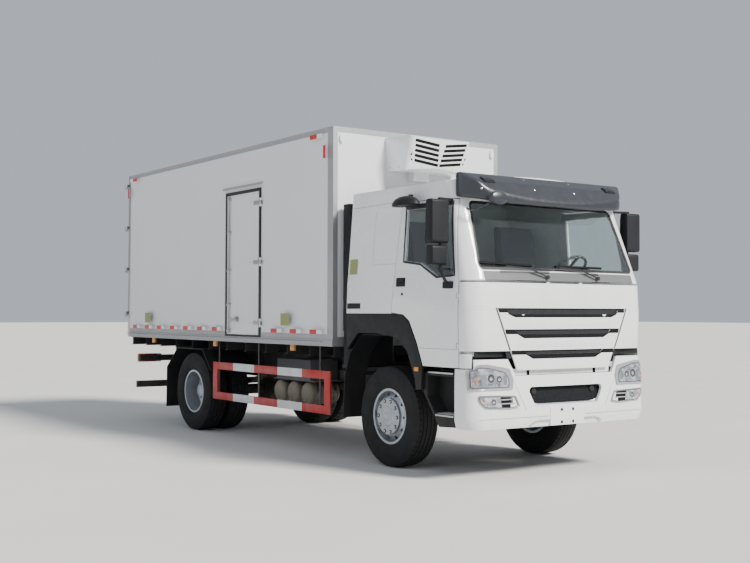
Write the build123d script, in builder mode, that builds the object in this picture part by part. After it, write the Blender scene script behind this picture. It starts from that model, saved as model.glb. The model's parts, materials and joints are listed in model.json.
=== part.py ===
from build123d import *
import os

os.makedirs("parts", exist_ok=True)

# A two-axle cab-over truck with an insulated box and a cooling unit, in millimetres.
# The truck faces -Y, +X is its left side (the driver's), and Z = 0 is the ground.
# The origin lies halfway along the truck, so the two overhangs and the wheelbase place everything.

# Overall layout
WHEELBASE = 4600.0
FRONT_OVERHANG = 1510.0
REAR_OVERHANG = 2350.0
FRONT_Y = -(FRONT_OVERHANG + WHEELBASE + REAR_OVERHANG) / 2
AXLE_1 = FRONT_Y + FRONT_OVERHANG
AXLE_2 = AXLE_1 + WHEELBASE

# Running clearances
SEAT_GAP = 0.3
PIN_GAP = 0.05
DOOR_GAP = 9.0

# Wheels
TYRE_R = 541.0
TYRE_W = 300.0
TREAD_W = 236.0
BEAD_R = 286.0
RIM_FLANGE_R = 298.0
RIM_HALF_W = 122.0
RIM_LIP = 9.0
RIM_WALL = 14.0
STEER_TYRE_X = 1025.0
DUAL_X = 921.0
DUAL_SPACING = 340.0
STUD_COUNT = 10
STUD_CIRCLE_R = 167.5

# Front axle and steering
KINGPIN_X = 870.0
KINGPIN_R = 22.0
BEAM_EYE_R = 52.0
BEAM_EYE_H = 104.0
BEAM_THICK = 96.0
SPINDLE_R = 45.0
KNUCKLE_EAR_H = 34.0
TRACK_ARM = 180.0
TRACK_ARM_Z = 410.0
TIE_ROD_R = 20.0
TIE_PIN_R = 12.0
TIE_OPEN_GAP = 1.0

# Ladder frame
RAIL_X = 425.0
RAIL_H = 270.0
RAIL_FLANGE = 80.0
RAIL_WALL = 9.0
FRAME_TOP = 1020.0
RAIL_FRONT = AXLE_1 - 1330.0
RAIL_REAR = AXLE_2 + 2270.0

# Box body
BOX_FRONT = AXLE_1 + 975.0
BOX_REAR = AXLE_2 + 2312.0
BOX_HALF = 1242.0
BOX_BOTTOM = 1260.0
BOX_TOP = 3785.0
WALL_T = 80.0
FLOOR_T = 90.0
WEAR_PLATE_T = 4.0
SKIN_PROUD = 3.0
SUB_RAIL_H = 120.0
BEARER_H = 120.0

# Cab
CAB_REAR = AXLE_1 + 690.0
SILL_Z = 1110.0
CAB_FLOOR_Z = 1470.0
CAB_FLOOR_T = 40.0
CAB_WALL = 45.0
CORNER_IN = 1172.0
CORNER_PASS = 7.0
ROOF_EDGE_Z = 2975.0
ROOF_CROWN_Z = 3065.0
ROOF_EDGE_R = 70.0
TILT_Y = AXLE_1 - 1390.0
TILT_Z = 1000.0
TILT_PIN_R = 20.0
FLAP_TOP_Z = 1948.0
FLAP_T = 16.0
FLAP_HINGE_Y = AXLE_1 - 1462.0
FLAP_HINGE_Z = 1952.0
FLAP_HINGE_X = 220.0
FLAP_PIN_R = 5.0


def save(piece, name):
    """Label a finished sub-part and write it as its own STEP file."""
    piece.part.label = name
    export_step(piece.part, f"parts/{name}.step")


def mirrored(piece):
    """The same sub-part on the other side of the truck."""
    with BuildPart() as other:
        mirror(piece.part, about=Plane.YZ)
    return other


# Closed plan outlines stacked in height give the cab and the bumper their form.
# Columns: height, half width, y at the middle of the nose, y at the corner, corner radius
CAB_SECTIONS = (
    (850.0, 1226.0, AXLE_1 - 1474.0, AXLE_1 - 1436.0, 190.0),
    (SILL_Z, 1230.0, AXLE_1 - 1474.0, AXLE_1 - 1436.0, 190.0),
    (1650.0, 1243.0, AXLE_1 - 1488.0, AXLE_1 - 1446.0, 190.0),
    (1960.0, 1232.0, AXLE_1 - 1484.0, AXLE_1 - 1436.0, 190.0),
    (2065.0, 1222.0, AXLE_1 - 1470.0, AXLE_1 - 1390.0, 190.0),
    (2760.0, 1168.0, AXLE_1 - 1200.0, AXLE_1 - 1120.0, 150.0),
    (3080.0, 1146.0, AXLE_1 - 1110.0, AXLE_1 - 1030.0, 150.0),
)
BUMPER_SECTIONS = (
    (515.0, 1226.0, AXLE_1 - 1486.0, AXLE_1 - 1456.0, 185.0),
    (600.0, 1248.0, AXLE_1 - 1508.0, AXLE_1 - 1478.0, 185.0),
    (960.0, 1248.0, AXLE_1 - 1498.0, AXLE_1 - 1468.0, 185.0),
    (1200.0, 1240.0, AXLE_1 - 1470.0, AXLE_1 - 1440.0, 185.0),
)


def stacked_form(sections, rear, inset):
    """A body lofted through plan outlines, all of them drawn in by the inset."""
    with BuildPart() as form:
        for height, half, nose, corner, radius in sections:
            with BuildSketch(Plane.XY.offset(height)) as outline:
                with BuildLine():
                    front = ThreePointArc(
                        (-half + inset, corner + inset),
                        (0, nose + inset),
                        (half - inset, corner + inset),
                    )
                    Polyline(
                        front @ 1, (half - inset, rear - inset), (-half + inset, rear - inset), front @ 0
                    )
                make_face()
                fillet(outline.vertices().group_by(Axis.Y)[0], radius - inset)
        loft(ruled=True)
    return form.part


def cab_form(inset):
    """The cab's outer form, or an inner one for a wall as thick as the inset."""
    with BuildPart() as form:
        add(stacked_form(CAB_SECTIONS, CAB_REAR, inset))
        with BuildSketch(Plane.XZ) as roof_line:
            with BuildLine():
                edge = CAB_SECTIONS[-1][1] + 30 - inset
                crown = ThreePointArc(
                    (-edge, ROOF_EDGE_Z - inset), (0, ROOF_CROWN_Z - inset), (edge, ROOF_EDGE_Z - inset)
                )
                Polyline(
                    crown @ 1, (1400, 2700), (1400, 800), (-1400, 800), (-1400, 2700), crown @ 0
                )
            make_face()
        extrude(amount=-2 * FRONT_Y, both=True, mode=Mode.INTERSECT)
    return form.part


def side_prism(points, near, far, radius=0):
    """A prism across the truck from an outline of (y from the front axle, z) points."""
    with BuildPart() as prism:
        with BuildSketch(Plane.YZ.offset(near)) as outline:
            with BuildLine():
                Polyline(*[(AXLE_1 + y, z) for y, z in points], close=True)
            make_face()
            if radius:
                fillet(outline.vertices(), radius)
        extrude(amount=far - near)
    return prism.part


def front_prism(points, radius=0):
    """A prism along the truck from an outline of (x, z) points, over the nose only."""
    with BuildPart() as prism:
        with BuildSketch(Plane.XZ.offset(-AXLE_1 + 1000)) as outline:
            with BuildLine():
                Polyline(*points, close=True)
            make_face()
            if radius:
                fillet(outline.vertices(), radius)
        extrude(amount=700)
    return prism.part


# Ladder frame: two channels that open inward, joined by cross members
# Columns of the cross members: distance behind the front axle, lower and upper edge
CROSS_MEMBERS = (
    (-1280.0, 785.0, 985.0),
    (1260.0, 890.0, 1000.0),
    (1900.0, 850.0, 1000.0),
    (3050.0, 800.0, 960.0),
    (3850.0, 785.0, 985.0),
    (5350.0, 785.0, 985.0),
    (6200.0, 800.0, 960.0),
    (6810.0, 785.0, 985.0),
)
CROSS_LENGTH = 70.0
TILT_EAR_T = 25.0
TILT_PIN_L = 60.0

with BuildPart() as chassis_frame:
    with BuildSketch(Plane.XZ.offset(-RAIL_FRONT)):
        for side in (-1, 1):
            with Locations((side * (RAIL_X - RAIL_FLANGE / 2), FRAME_TOP - RAIL_H / 2)):
                Rectangle(RAIL_FLANGE, RAIL_H)
            with Locations((side * (RAIL_X - RAIL_WALL - RAIL_FLANGE / 2), FRAME_TOP - RAIL_H / 2)):
                Rectangle(RAIL_FLANGE, RAIL_H - 2 * RAIL_WALL, mode=Mode.SUBTRACT)
    extrude(amount=-(RAIL_REAR - RAIL_FRONT))
    for behind, low, high in CROSS_MEMBERS:
        with Locations((0, AXLE_1 + behind, (low + high) / 2)):
            Box(2 * (RAIL_X - RAIL_WALL), CROSS_LENGTH, high - low)
        with Locations((0, AXLE_1 + behind + RAIL_WALL, (low + high) / 2)):
            Box(2 * (RAIL_X - RAIL_FLANGE) - 60, CROSS_LENGTH, high - low - 2 * RAIL_WALL, mode=Mode.SUBTRACT)
    # brackets and pins at the nose that the cab tilts on
    for side in (-1, 1):
        with BuildSketch(Plane.YZ.offset(side * RAIL_X)):
            with Locations((TILT_Y, TILT_Z)):
                Circle(45)
            with Locations((RAIL_FRONT - 10, TILT_Z - 60)):
                Rectangle(110, 160)
        extrude(amount=side * TILT_EAR_T)
        with Locations((side * (RAIL_X + TILT_EAR_T + TILT_PIN_L / 2), TILT_Y, TILT_Z)):
            Cylinder(TILT_PIN_R, TILT_PIN_L, rotation=(0, 90, 0))
save(chassis_frame, "chassis_frame")


# Front axle: a forged beam with an eye for each kingpin, and its leaf springs
SPRING_W = 90.0
FRONT_SPRING_X = 390.0
SPRING_SEAT_Z = 520.0
SPRING_HALF_L = 780.0
SPRING_PACK_H = 84.0
SPRING_END_Z = 700.0
SPRING_END_H = 26.0
HANGER_L = 120.0

with BuildPart() as front_axle:
    with BuildSketch(Plane.XZ.offset(-AXLE_1)):
        with BuildLine():
            half = KINGPIN_X - BEAM_EYE_R / 2
            Polyline(
                (-half, TYRE_R + 38), (-690, TYRE_R + 20), (-560, SPRING_SEAT_Z), (560, SPRING_SEAT_Z),
                (690, TYRE_R + 20), (half, TYRE_R + 38), (half, TYRE_R - 38), (720, TYRE_R - 60),
                (560, 420), (-560, 420), (-720, TYRE_R - 60), (-half, TYRE_R - 38), close=True,
            )
        make_face()
    extrude(amount=BEAM_THICK / 2, both=True)
    with Locations(*[(side * KINGPIN_X, AXLE_1, TYRE_R) for side in (-1, 1)]):
        Cylinder(BEAM_EYE_R, BEAM_EYE_H)
        Cylinder(KINGPIN_R + PIN_GAP, BEAM_EYE_H, mode=Mode.SUBTRACT)


def spring_profile(centre, seat_z, end_z, hanger_z):
    """A leaf pack seen from the side, with a hanger block at each end."""
    with BuildSketch() as profile:
        with BuildLine():
            top = ThreePointArc(
                (centre - SPRING_HALF_L, end_z),
                (centre, seat_z + SPRING_PACK_H),
                (centre + SPRING_HALF_L, end_z),
            )
            Line(top @ 1, (centre + SPRING_HALF_L, end_z - SPRING_END_H))
            low = ThreePointArc(
                (centre + SPRING_HALF_L, end_z - SPRING_END_H),
                (centre, seat_z),
                (centre - SPRING_HALF_L, end_z - SPRING_END_H),
            )
            Line(low @ 1, top @ 0)
        make_face()
        for end in (-1, 1):
            with Locations((centre + end * (SPRING_HALF_L + HANGER_L / 2 - 20), (hanger_z + end_z - 50) / 2)):
                Rectangle(HANGER_L, hanger_z - end_z + 50)
    return profile.sketch


with BuildPart() as front_springs:
    for side in (-1, 1):
        with BuildSketch(Plane.YZ.offset(side * FRONT_SPRING_X - SPRING_W / 2)):
            add(spring_profile(AXLE_1, SPRING_SEAT_Z, SPRING_END_Z, FRAME_TOP - RAIL_H))
        extrude(amount=SPRING_W)
save(front_axle, "front_axle")


# Rear axle: a banjo housing with its spindles, and the springs outside the rails
HOUSING_R = 72.0
BANJO_R = 215.0
REAR_SPINDLE_R = 60.0
REAR_SPINDLE_END = 1080.0
REAR_SPRING_X = 490.0
REAR_SPRING_Z = TYRE_R + HOUSING_R + 12
DIFF_NOSE = 330.0

with BuildPart() as rear_axle:
    with Locations((0, AXLE_2, TYRE_R)):
        Cylinder(HOUSING_R, 2 * 560, rotation=(0, 90, 0))
        Cylinder(REAR_SPINDLE_R, 2 * REAR_SPINDLE_END, rotation=(0, 90, 0))
        Cylinder(BANJO_R, 220, rotation=(0, 90, 0))
    fillet(rear_axle.edges().filter_by(GeomType.CIRCLE).filter_by(lambda e: abs(e.radius - BANJO_R) < 1), 60)
    with BuildSketch(Plane.XZ.offset(-AXLE_2)):
        with Locations((0, TYRE_R)):
            Circle(120)
    with BuildSketch(Plane.XZ.offset(-AXLE_2 + DIFF_NOSE)):
        with Locations((0, TYRE_R)):
            Circle(70)
    loft()
    for side in (-1, 1):
        with Locations((side * REAR_SPRING_X, AXLE_2, REAR_SPRING_Z - 30)):
            Box(SPRING_W + 10, 150, 60)
save(rear_axle, "rear_axle")

with BuildPart() as rear_springs:
    for side in (-1, 1):
        with BuildSketch(Plane.YZ.offset(side * REAR_SPRING_X - SPRING_W / 2)):
            add(spring_profile(AXLE_2, REAR_SPRING_Z, 800, 880))
        extrude(amount=SPRING_W)
        for end in (-1, 1):
            with Locations((side * (RAIL_X + 22), AXLE_2 + end * (SPRING_HALF_L + HANGER_L / 2 - 20), 815)):
                Box(44, HANGER_L, 130)

with BuildPart() as leaf_springs:
    add(front_springs.part)
    add(rear_springs.part)
save(leaf_springs, "leaf_springs")


# Engine and gearbox as one plain block on the rails, with the propeller shaft to the rear axle
ENGINE_HALF = 330.0
ENGINE_FRONT = AXLE_1 - 1100.0
ENGINE_REAR = AXLE_1 + 250.0
ENGINE_TOP = 1400.0
GEARBOX_REAR = AXLE_1 + 1150.0
SHAFT_R = 55.0
SHAFT_Z = 820.0

with BuildPart() as driveline:
    with BuildSketch(Plane.XZ.offset(-ENGINE_FRONT)):
        with Locations((0, (ENGINE_TOP + FRAME_TOP - RAIL_H) / 2)):
            RectangleRounded(2 * ENGINE_HALF, ENGINE_TOP - FRAME_TOP + RAIL_H, 60)
    extrude(amount=ENGINE_FRONT - ENGINE_REAR)
    with BuildSketch(Plane.XZ.offset(-ENGINE_REAR)):
        with Locations((0, SHAFT_Z + 40)):
            RectangleRounded(420, 420, 80)
    extrude(amount=ENGINE_REAR - GEARBOX_REAR)
    for behind in (-700.0, 60.0):
        for side in (-1, 1):
            with Locations((side * (ENGINE_HALF + 40), AXLE_1 + behind, FRAME_TOP + 20)):
                Box(110, 90, 40)
    shaft_start = Vector(0, GEARBOX_REAR, SHAFT_Z)
    shaft_end = Vector(0, AXLE_2 - DIFF_NOSE - SEAT_GAP, TYRE_R)
    shaft_line = Plane(origin=shaft_start, z_dir=shaft_end - shaft_start)
    with Locations(shaft_line):
        shaft_length = (shaft_end - shaft_start).length - 60
        Cylinder(SHAFT_R, shaft_length, align=(Align.CENTER, Align.CENTER, Align.MIN))
    with BuildSketch(Plane.XZ.offset(-shaft_end.Y)):
        with Locations((0, TYRE_R)):
            Circle(70)
    extrude(amount=70)
save(driveline, "driveline")


# Steering: a knuckle on each kingpin, with the arm that the tie rod joins, all behind the axle
KNUCKLE_R = 50.0
SPINDLE_END = STEER_TYRE_X + 75.0


def knuckle(side):
    with BuildPart() as piece:
        ear_offset = (BEAM_EYE_H + KNUCKLE_EAR_H) / 2 + SEAT_GAP
        for end in (-1, 1):
            with BuildSketch(Plane.XY.offset(TYRE_R + end * ear_offset - KNUCKLE_EAR_H / 2)):
                with Locations((side * KINGPIN_X, AXLE_1)):
                    Circle(KNUCKLE_R)
                with Locations((side * (KINGPIN_X + 45), AXLE_1)):
                    Rectangle(90, 2 * KNUCKLE_R)
            extrude(amount=KNUCKLE_EAR_H)
        with Locations((side * KINGPIN_X, AXLE_1, TYRE_R)):
            Cylinder(KINGPIN_R, BEAM_EYE_H + 2 * KNUCKLE_EAR_H)
        inner = KINGPIN_X + BEAM_EYE_R + 8
        with BuildSketch(Plane.YZ.offset(side * inner)):
            with Locations((AXLE_1, TYRE_R)):
                RectangleRounded(2 * KNUCKLE_R, BEAM_EYE_H + 2 * KNUCKLE_EAR_H, 20)
        extrude(amount=side * 36)
        with BuildSketch(Plane.YZ.offset(side * (inner + 36))):
            with Locations((AXLE_1, TYRE_R)):
                Circle(SPINDLE_R)
        extrude(amount=side * (SPINDLE_END - inner - 36))
        # the track arm runs back from the lower ear, parallel on both sides
        with Locations((side * KINGPIN_X, AXLE_1 + TRACK_ARM / 2, TRACK_ARM_Z + 38)):
            Box(50, TRACK_ARM + 50, 26)
        with Locations((side * KINGPIN_X, AXLE_1, TRACK_ARM_Z + 48)):
            Cylinder(38, 46)
        with Locations((side * KINGPIN_X, AXLE_1 + TRACK_ARM, TRACK_ARM_Z + 6)):
            Cylinder(TIE_PIN_R if side > 0 else TIE_PIN_R - TIE_OPEN_GAP, 66)
    return piece


for name, side in (("left", 1), ("right", -1)):
    save(knuckle(side), f"knuckle_{name}")

with BuildPart() as tie_rod:
    with BuildSketch(Plane.XY.offset(TRACK_ARM_Z - 22)):
        for side in (-1, 1):
            with Locations((side * KINGPIN_X, AXLE_1 + TRACK_ARM)):
                Circle(26)
    extrude(amount=44)
    with Locations((0, AXLE_1 + TRACK_ARM, TRACK_ARM_Z)):
        Cylinder(TIE_ROD_R, 2 * KINGPIN_X - 20, rotation=(0, 90, 0))
    with Locations(*[(side * KINGPIN_X, AXLE_1 + TRACK_ARM, TRACK_ARM_Z) for side in (-1, 1)]):
        Cylinder(TIE_PIN_R + PIN_GAP, 44, mode=Mode.SUBTRACT)
save(tie_rod, "tie_rod")


# Tyres: a ring with a crowned tread and rounded side walls, turned about the axle
def tyre_profile(centre):
    half = TYRE_W / 2
    bead_x = RIM_HALF_W - RIM_LIP - SEAT_GAP
    with BuildSketch() as profile:
        with BuildLine():
            ThreePointArc(
                (centre - TREAD_W / 2, TYRE_R - 7), (centre, TYRE_R), (centre + TREAD_W / 2, TYRE_R - 7)
            )
            for side in (-1, 1):
                wall = ThreePointArc(
                    (centre + side * TREAD_W / 2, TYRE_R - 7),
                    (centre + side * half, (TYRE_R + BEAD_R) / 2 - 5),
                    (centre + side * (bead_x + 10), RIM_FLANGE_R + 8),
                )
                bead = centre + side * bead_x
                Polyline(wall @ 1, (bead, RIM_FLANGE_R + 2), (bead, BEAD_R))
            Line((centre - bead_x, BEAD_R), (centre + bead_x, BEAD_R))
        make_face()
    return profile.sketch


def wheel_plane(axle_y):
    """A plane whose x runs across the truck and whose y is the radius above the axle."""
    return Plane(origin=(0, axle_y, TYRE_R), x_dir=(1, 0, 0), z_dir=(0, -1, 0))


def tyre_set(axle_y, centres):
    with BuildPart() as piece:
        with BuildSketch(wheel_plane(axle_y)):
            for centre in centres:
                add(tyre_profile(centre))
        revolve(axis=Axis((0, axle_y, TYRE_R), (1, 0, 0)))
    return piece


def rim_barrel(centre):
    """The drop-centre rim between two flanges."""
    seat = BEAD_R - SEAT_GAP
    with BuildSketch() as profile:
        with BuildLine():
            Polyline(
                (centre - RIM_HALF_W, RIM_FLANGE_R), (centre - RIM_HALF_W + RIM_LIP, RIM_FLANGE_R),
                (centre - RIM_HALF_W + RIM_LIP, seat), (centre + RIM_HALF_W - RIM_LIP, seat),
                (centre + RIM_HALF_W - RIM_LIP, RIM_FLANGE_R), (centre + RIM_HALF_W, RIM_FLANGE_R),
                (centre + RIM_HALF_W, seat - RIM_WALL), (centre - RIM_HALF_W, seat - RIM_WALL), close=True,
            )
        make_face()
    return profile.sketch


HUB_R = 112.0
NAVE_R = 205.0
DISC_T = 12.0


def front_rim(side):
    """A steer wheel: its disc stands forward, close to the outer flange."""
    centre = side * STEER_TYRE_X
    face = centre + side * (RIM_HALF_W - 14)
    root = centre + side * 40
    seat = BEAD_R - SEAT_GAP
    with BuildPart() as piece:
        with BuildSketch(wheel_plane(AXLE_1)):
            add(rim_barrel(centre))
            with BuildLine():
                Polyline(
                    (face, HUB_R - 4), (face, NAVE_R), (root + side * DISC_T, seat - RIM_WALL + 4),
                    (root, seat - RIM_WALL + 4), (face - side * DISC_T, NAVE_R - 8),
                    (face - side * DISC_T, HUB_R - 4), close=True,
                )
            make_face()
            with BuildLine():
                back = side * (KINGPIN_X + BEAM_EYE_R + 60)
                Polyline(
                    (back, SPINDLE_R + PIN_GAP), (back, HUB_R), (face, HUB_R), (face + side * 26, 70),
                    (face + side * 26, 0), (side * SPINDLE_END + side * 2, 0),
                    (side * SPINDLE_END + side * 2, SPINDLE_R + PIN_GAP), close=True,
                )
            make_face()
        revolve(axis=Axis((0, AXLE_1, TYRE_R), (1, 0, 0)))
        with Locations(Plane(origin=(face, AXLE_1, TYRE_R), z_dir=(side, 0, 0))):
            with PolarLocations(STUD_CIRCLE_R, STUD_COUNT):
                Cylinder(17, 60)
            with PolarLocations(238, STUD_COUNT, start_angle=18):
                Cylinder(24, 160, mode=Mode.SUBTRACT)
    return piece


def rear_rims(side):
    """Twin wheels bolted back to back on one hub."""
    seat = BEAD_R - SEAT_GAP
    with BuildPart() as piece:
        with BuildSketch(wheel_plane(AXLE_2)):
            for away in (-1, 1):
                centre = side * (DUAL_X + away * DUAL_SPACING / 2)
                add(rim_barrel(centre))
                joint = side * DUAL_X
                disc = away * side * DISC_T
                rim_root = centre - away * side * (RIM_HALF_W - 30)
                with BuildLine():
                    Polyline(
                        (joint, HUB_R - 4), (joint + disc, HUB_R - 4), (joint + disc, NAVE_R),
                        (rim_root + disc, seat - RIM_WALL + 4), (rim_root, seat - RIM_WALL + 4),
                        (joint, NAVE_R + 6), close=True,
                    )
                make_face()
            with BuildLine():
                back = side * 600.0
                front = side * (REAR_SPINDLE_END + 2)
                Polyline(
                    (back, REAR_SPINDLE_R + PIN_GAP), (back, 140), (side * DUAL_X, 140),
                    (side * DUAL_X, HUB_R), (side * 1090, HUB_R), (side * 1120, 90), (side * 1120, 0),
                    (front, 0), (front, REAR_SPINDLE_R + PIN_GAP), close=True,
                )
            make_face()
        revolve(axis=Axis((0, AXLE_2, TYRE_R), (1, 0, 0)))
        with Locations(Plane(origin=(side * (DUAL_X + DISC_T), AXLE_2, TYRE_R), z_dir=(side, 0, 0))):
            with PolarLocations(STUD_CIRCLE_R, STUD_COUNT):
                Cylinder(17, 90)
    return piece


for name, side in (("left", 1), ("right", -1)):
    save(tyre_set(AXLE_1, (side * STEER_TYRE_X,)), f"tyre_front_{name}")
    duals = (side * (DUAL_X - DUAL_SPACING / 2), side * (DUAL_X + DUAL_SPACING / 2))
    save(tyre_set(AXLE_2, duals), f"tyres_rear_{name}")
    save(front_rim(side), f"rim_front_{name}")
    save(rear_rims(side), f"rims_rear_{name}")


# Box body: subframe and cross bearers, then an insulated floor, walls and roof
BEARER_COUNT = 12
BEARER_W = 60.0
BEARER_HALF = 1200.0
BEARER_Z = BOX_BOTTOM - BEARER_H
FIRST_BEARER = BOX_FRONT + 60.0
LAST_BEARER = BOX_REAR - 90.0
BEARER_PITCH = (LAST_BEARER - FIRST_BEARER) / (BEARER_COUNT - 1)

with BuildPart() as box_subframe:
    for side in (-1, 1):
        with Locations((side * (RAIL_X - RAIL_FLANGE / 2), (BOX_FRONT + BOX_REAR) / 2, FRAME_TOP)):
            Box(
                RAIL_FLANGE, BOX_REAR - BOX_FRONT - 40, SUB_RAIL_H,
                align=(Align.CENTER, Align.CENTER, Align.MIN),
            )
    with BuildSketch(Plane.YZ.offset(-BEARER_HALF)):
        with Locations((FIRST_BEARER, BEARER_Z)):
            with Locations(*[(i * BEARER_PITCH, 0) for i in range(BEARER_COUNT)]):
                Rectangle(BEARER_W, BEARER_H, align=(Align.CENTER, Align.MIN))
                with Locations((8, 8)):
                    Rectangle(BEARER_W, BEARER_H - 16, align=(Align.CENTER, Align.MIN), mode=Mode.SUBTRACT)
    extrude(amount=2 * BEARER_HALF)
save(box_subframe, "box_subframe")

PANEL_X = BOX_HALF - SKIN_PROUD
PANEL_FRONT = BOX_FRONT + SKIN_PROUD
PANEL_TOP = BOX_TOP - SKIN_PROUD
REAR_FRAME_L = 80.0
PANEL_REAR = BOX_REAR - REAR_FRAME_L
FLOOR_TOP = BOX_BOTTOM + FLOOR_T
CEILING = PANEL_TOP - WALL_T
PANEL_MID = (PANEL_FRONT + PANEL_REAR) / 2
PANEL_LENGTH = PANEL_REAR - PANEL_FRONT

with BuildPart() as box_floor:
    with Locations((0, PANEL_MID, BOX_BOTTOM)):
        Box(2 * PANEL_X, PANEL_LENGTH, FLOOR_T, align=(Align.CENTER, Align.CENTER, Align.MIN))
    # the wearing plate lies between the walls
    with Locations((0, PANEL_REAR, FLOOR_TOP)):
        Box(
            2 * (PANEL_X - WALL_T - SEAT_GAP), PANEL_LENGTH - WALL_T - SEAT_GAP, WEAR_PLATE_T,
            align=(Align.CENTER, Align.MAX, Align.MIN),
        )
save(box_floor, "box_floor")

with BuildPart() as box_roof:
    with Locations((0, PANEL_MID, CEILING)):
        Box(2 * PANEL_X, PANEL_LENGTH, WALL_T, align=(Align.CENTER, Align.CENTER, Align.MIN))
save(box_roof, "box_roof")

with BuildPart() as box_front_wall:
    with Locations((0, PANEL_FRONT, FLOOR_TOP)):
        Box(2 * PANEL_X, WALL_T, CEILING - FLOOR_TOP, align=(Align.CENTER, Align.MIN, Align.MIN))
save(box_front_wall, "box_front_wall")

# Side door: its opening in the right wall, hung at the front edge
SIDE_DOOR_FRONT = AXLE_1 + 2680.0
SIDE_DOOR_REAR = AXLE_1 + 3560.0
SIDE_DOOR_BOTTOM = FLOOR_TOP
SIDE_DOOR_TOP = 3195.0
SEAL_LAP = 34.0
SEAL_T = 14.0
LEAF_STEP = 12.0
LEAF_PROUD = 10.0
HINGE_PIN_R = 8.0
HINGE_BARREL_R = 15.0
STRAP_T = 8.0
STRAP_H = 46.0
SIDE_LUG_H = 30.0
SIDE_HINGE_X = -(BOX_HALF + 24.0)
SIDE_HINGE_Y = SIDE_DOOR_FRONT - SEAL_LAP - 20.0
SIDE_HINGE_HEIGHTS = (1514.0, 2283.0, 3040.0)


def box_side_wall(side):
    with BuildPart() as piece:
        with Locations((side * PANEL_X, PANEL_FRONT + WALL_T, FLOOR_TOP)):
            Box(
                WALL_T, PANEL_LENGTH - WALL_T, CEILING - FLOOR_TOP,
                align=(Align.MAX if side > 0 else Align.MIN, Align.MIN, Align.MIN),
            )
        if side < 0:
            with Locations((-PANEL_X, (SIDE_DOOR_FRONT + SIDE_DOOR_REAR) / 2, SIDE_DOOR_BOTTOM)):
                Box(
                    3 * WALL_T, SIDE_DOOR_REAR - SIDE_DOOR_FRONT, SIDE_DOOR_TOP - SIDE_DOOR_BOTTOM,
                    align=(Align.CENTER, Align.CENTER, Align.MIN), mode=Mode.SUBTRACT,
                )
            # a pair of lugs for each hinge, above and below the door's strap
            for height in SIDE_HINGE_HEIGHTS:
                for end in (-1, 1):
                    lug_z = height + end * (STRAP_H / 2 + SEAT_GAP + SIDE_LUG_H / 2)
                    with BuildSketch(Plane.XY.offset(lug_z - SIDE_LUG_H / 2)):
                        with Locations(((-PANEL_X + SIDE_HINGE_X) / 2, SIDE_HINGE_Y)):
                            Rectangle(-SIDE_HINGE_X - PANEL_X, 2 * HINGE_BARREL_R)
                        with Locations((SIDE_HINGE_X, SIDE_HINGE_Y)):
                            Circle(HINGE_BARREL_R)
                            Circle(HINGE_PIN_R + PIN_GAP, mode=Mode.SUBTRACT)
                    extrude(amount=SIDE_LUG_H)
    return piece


save(box_side_wall(1), "box_left_wall")
save(box_side_wall(-1), "box_right_wall")

# Rear frame: posts, header and sill round the two rear doors, with the hinge lugs
POST_W = 62.0
HEADER_H = 82.0
REAR_HINGE_X = BOX_HALF + 34.0
REAR_HINGE_Y = BOX_REAR + 12.0
REAR_HINGE_HEIGHTS = (1560.0, 2250.0, 2900.0, 3560.0)
LUG_H = 50.0

with BuildPart() as box_rear_frame:
    with BuildSketch(Plane.XZ.offset(-PANEL_REAR)):
        with Locations((0, BOX_BOTTOM)):
            Rectangle(2 * BOX_HALF, BOX_TOP - BOX_BOTTOM, align=(Align.CENTER, Align.MIN))
        with Locations((0, FLOOR_TOP)):
            Rectangle(
                2 * (BOX_HALF - POST_W), BOX_TOP - HEADER_H - FLOOR_TOP,
                align=(Align.CENTER, Align.MIN), mode=Mode.SUBTRACT,
            )
    extrude(amount=-REAR_FRAME_L)
    for side in (-1, 1):
        for height in REAR_HINGE_HEIGHTS:
            with BuildSketch(Plane.XY.offset(height)):
                with BuildLine():
                    Polyline(
                        (side * BOX_HALF, BOX_REAR - 50), (side * (REAR_HINGE_X + 2), BOX_REAR - 8),
                        (side * (REAR_HINGE_X + 2), REAR_HINGE_Y), (side * (REAR_HINGE_X - 14), REAR_HINGE_Y),
                        (side * (REAR_HINGE_X - 14), BOX_REAR - 3), (side * BOX_HALF, BOX_REAR - 3),
                        close=True,
                    )
                make_face()
                with Locations((side * REAR_HINGE_X, REAR_HINGE_Y)):
                    Circle(HINGE_BARREL_R)
                    Circle(HINGE_PIN_R + PIN_GAP, mode=Mode.SUBTRACT)
            extrude(amount=LUG_H)
save(box_rear_frame, "box_rear_frame")

# Aluminium extrusions along the edges, all joined, with the drip rail over the side door
RAIL_LOW_TOP = 1338.0
RAIL_TOP = 1397.0
EDGE_W = 62.0
CORNER_W = 118.0
CANOPY_Z = 3300.0

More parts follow.
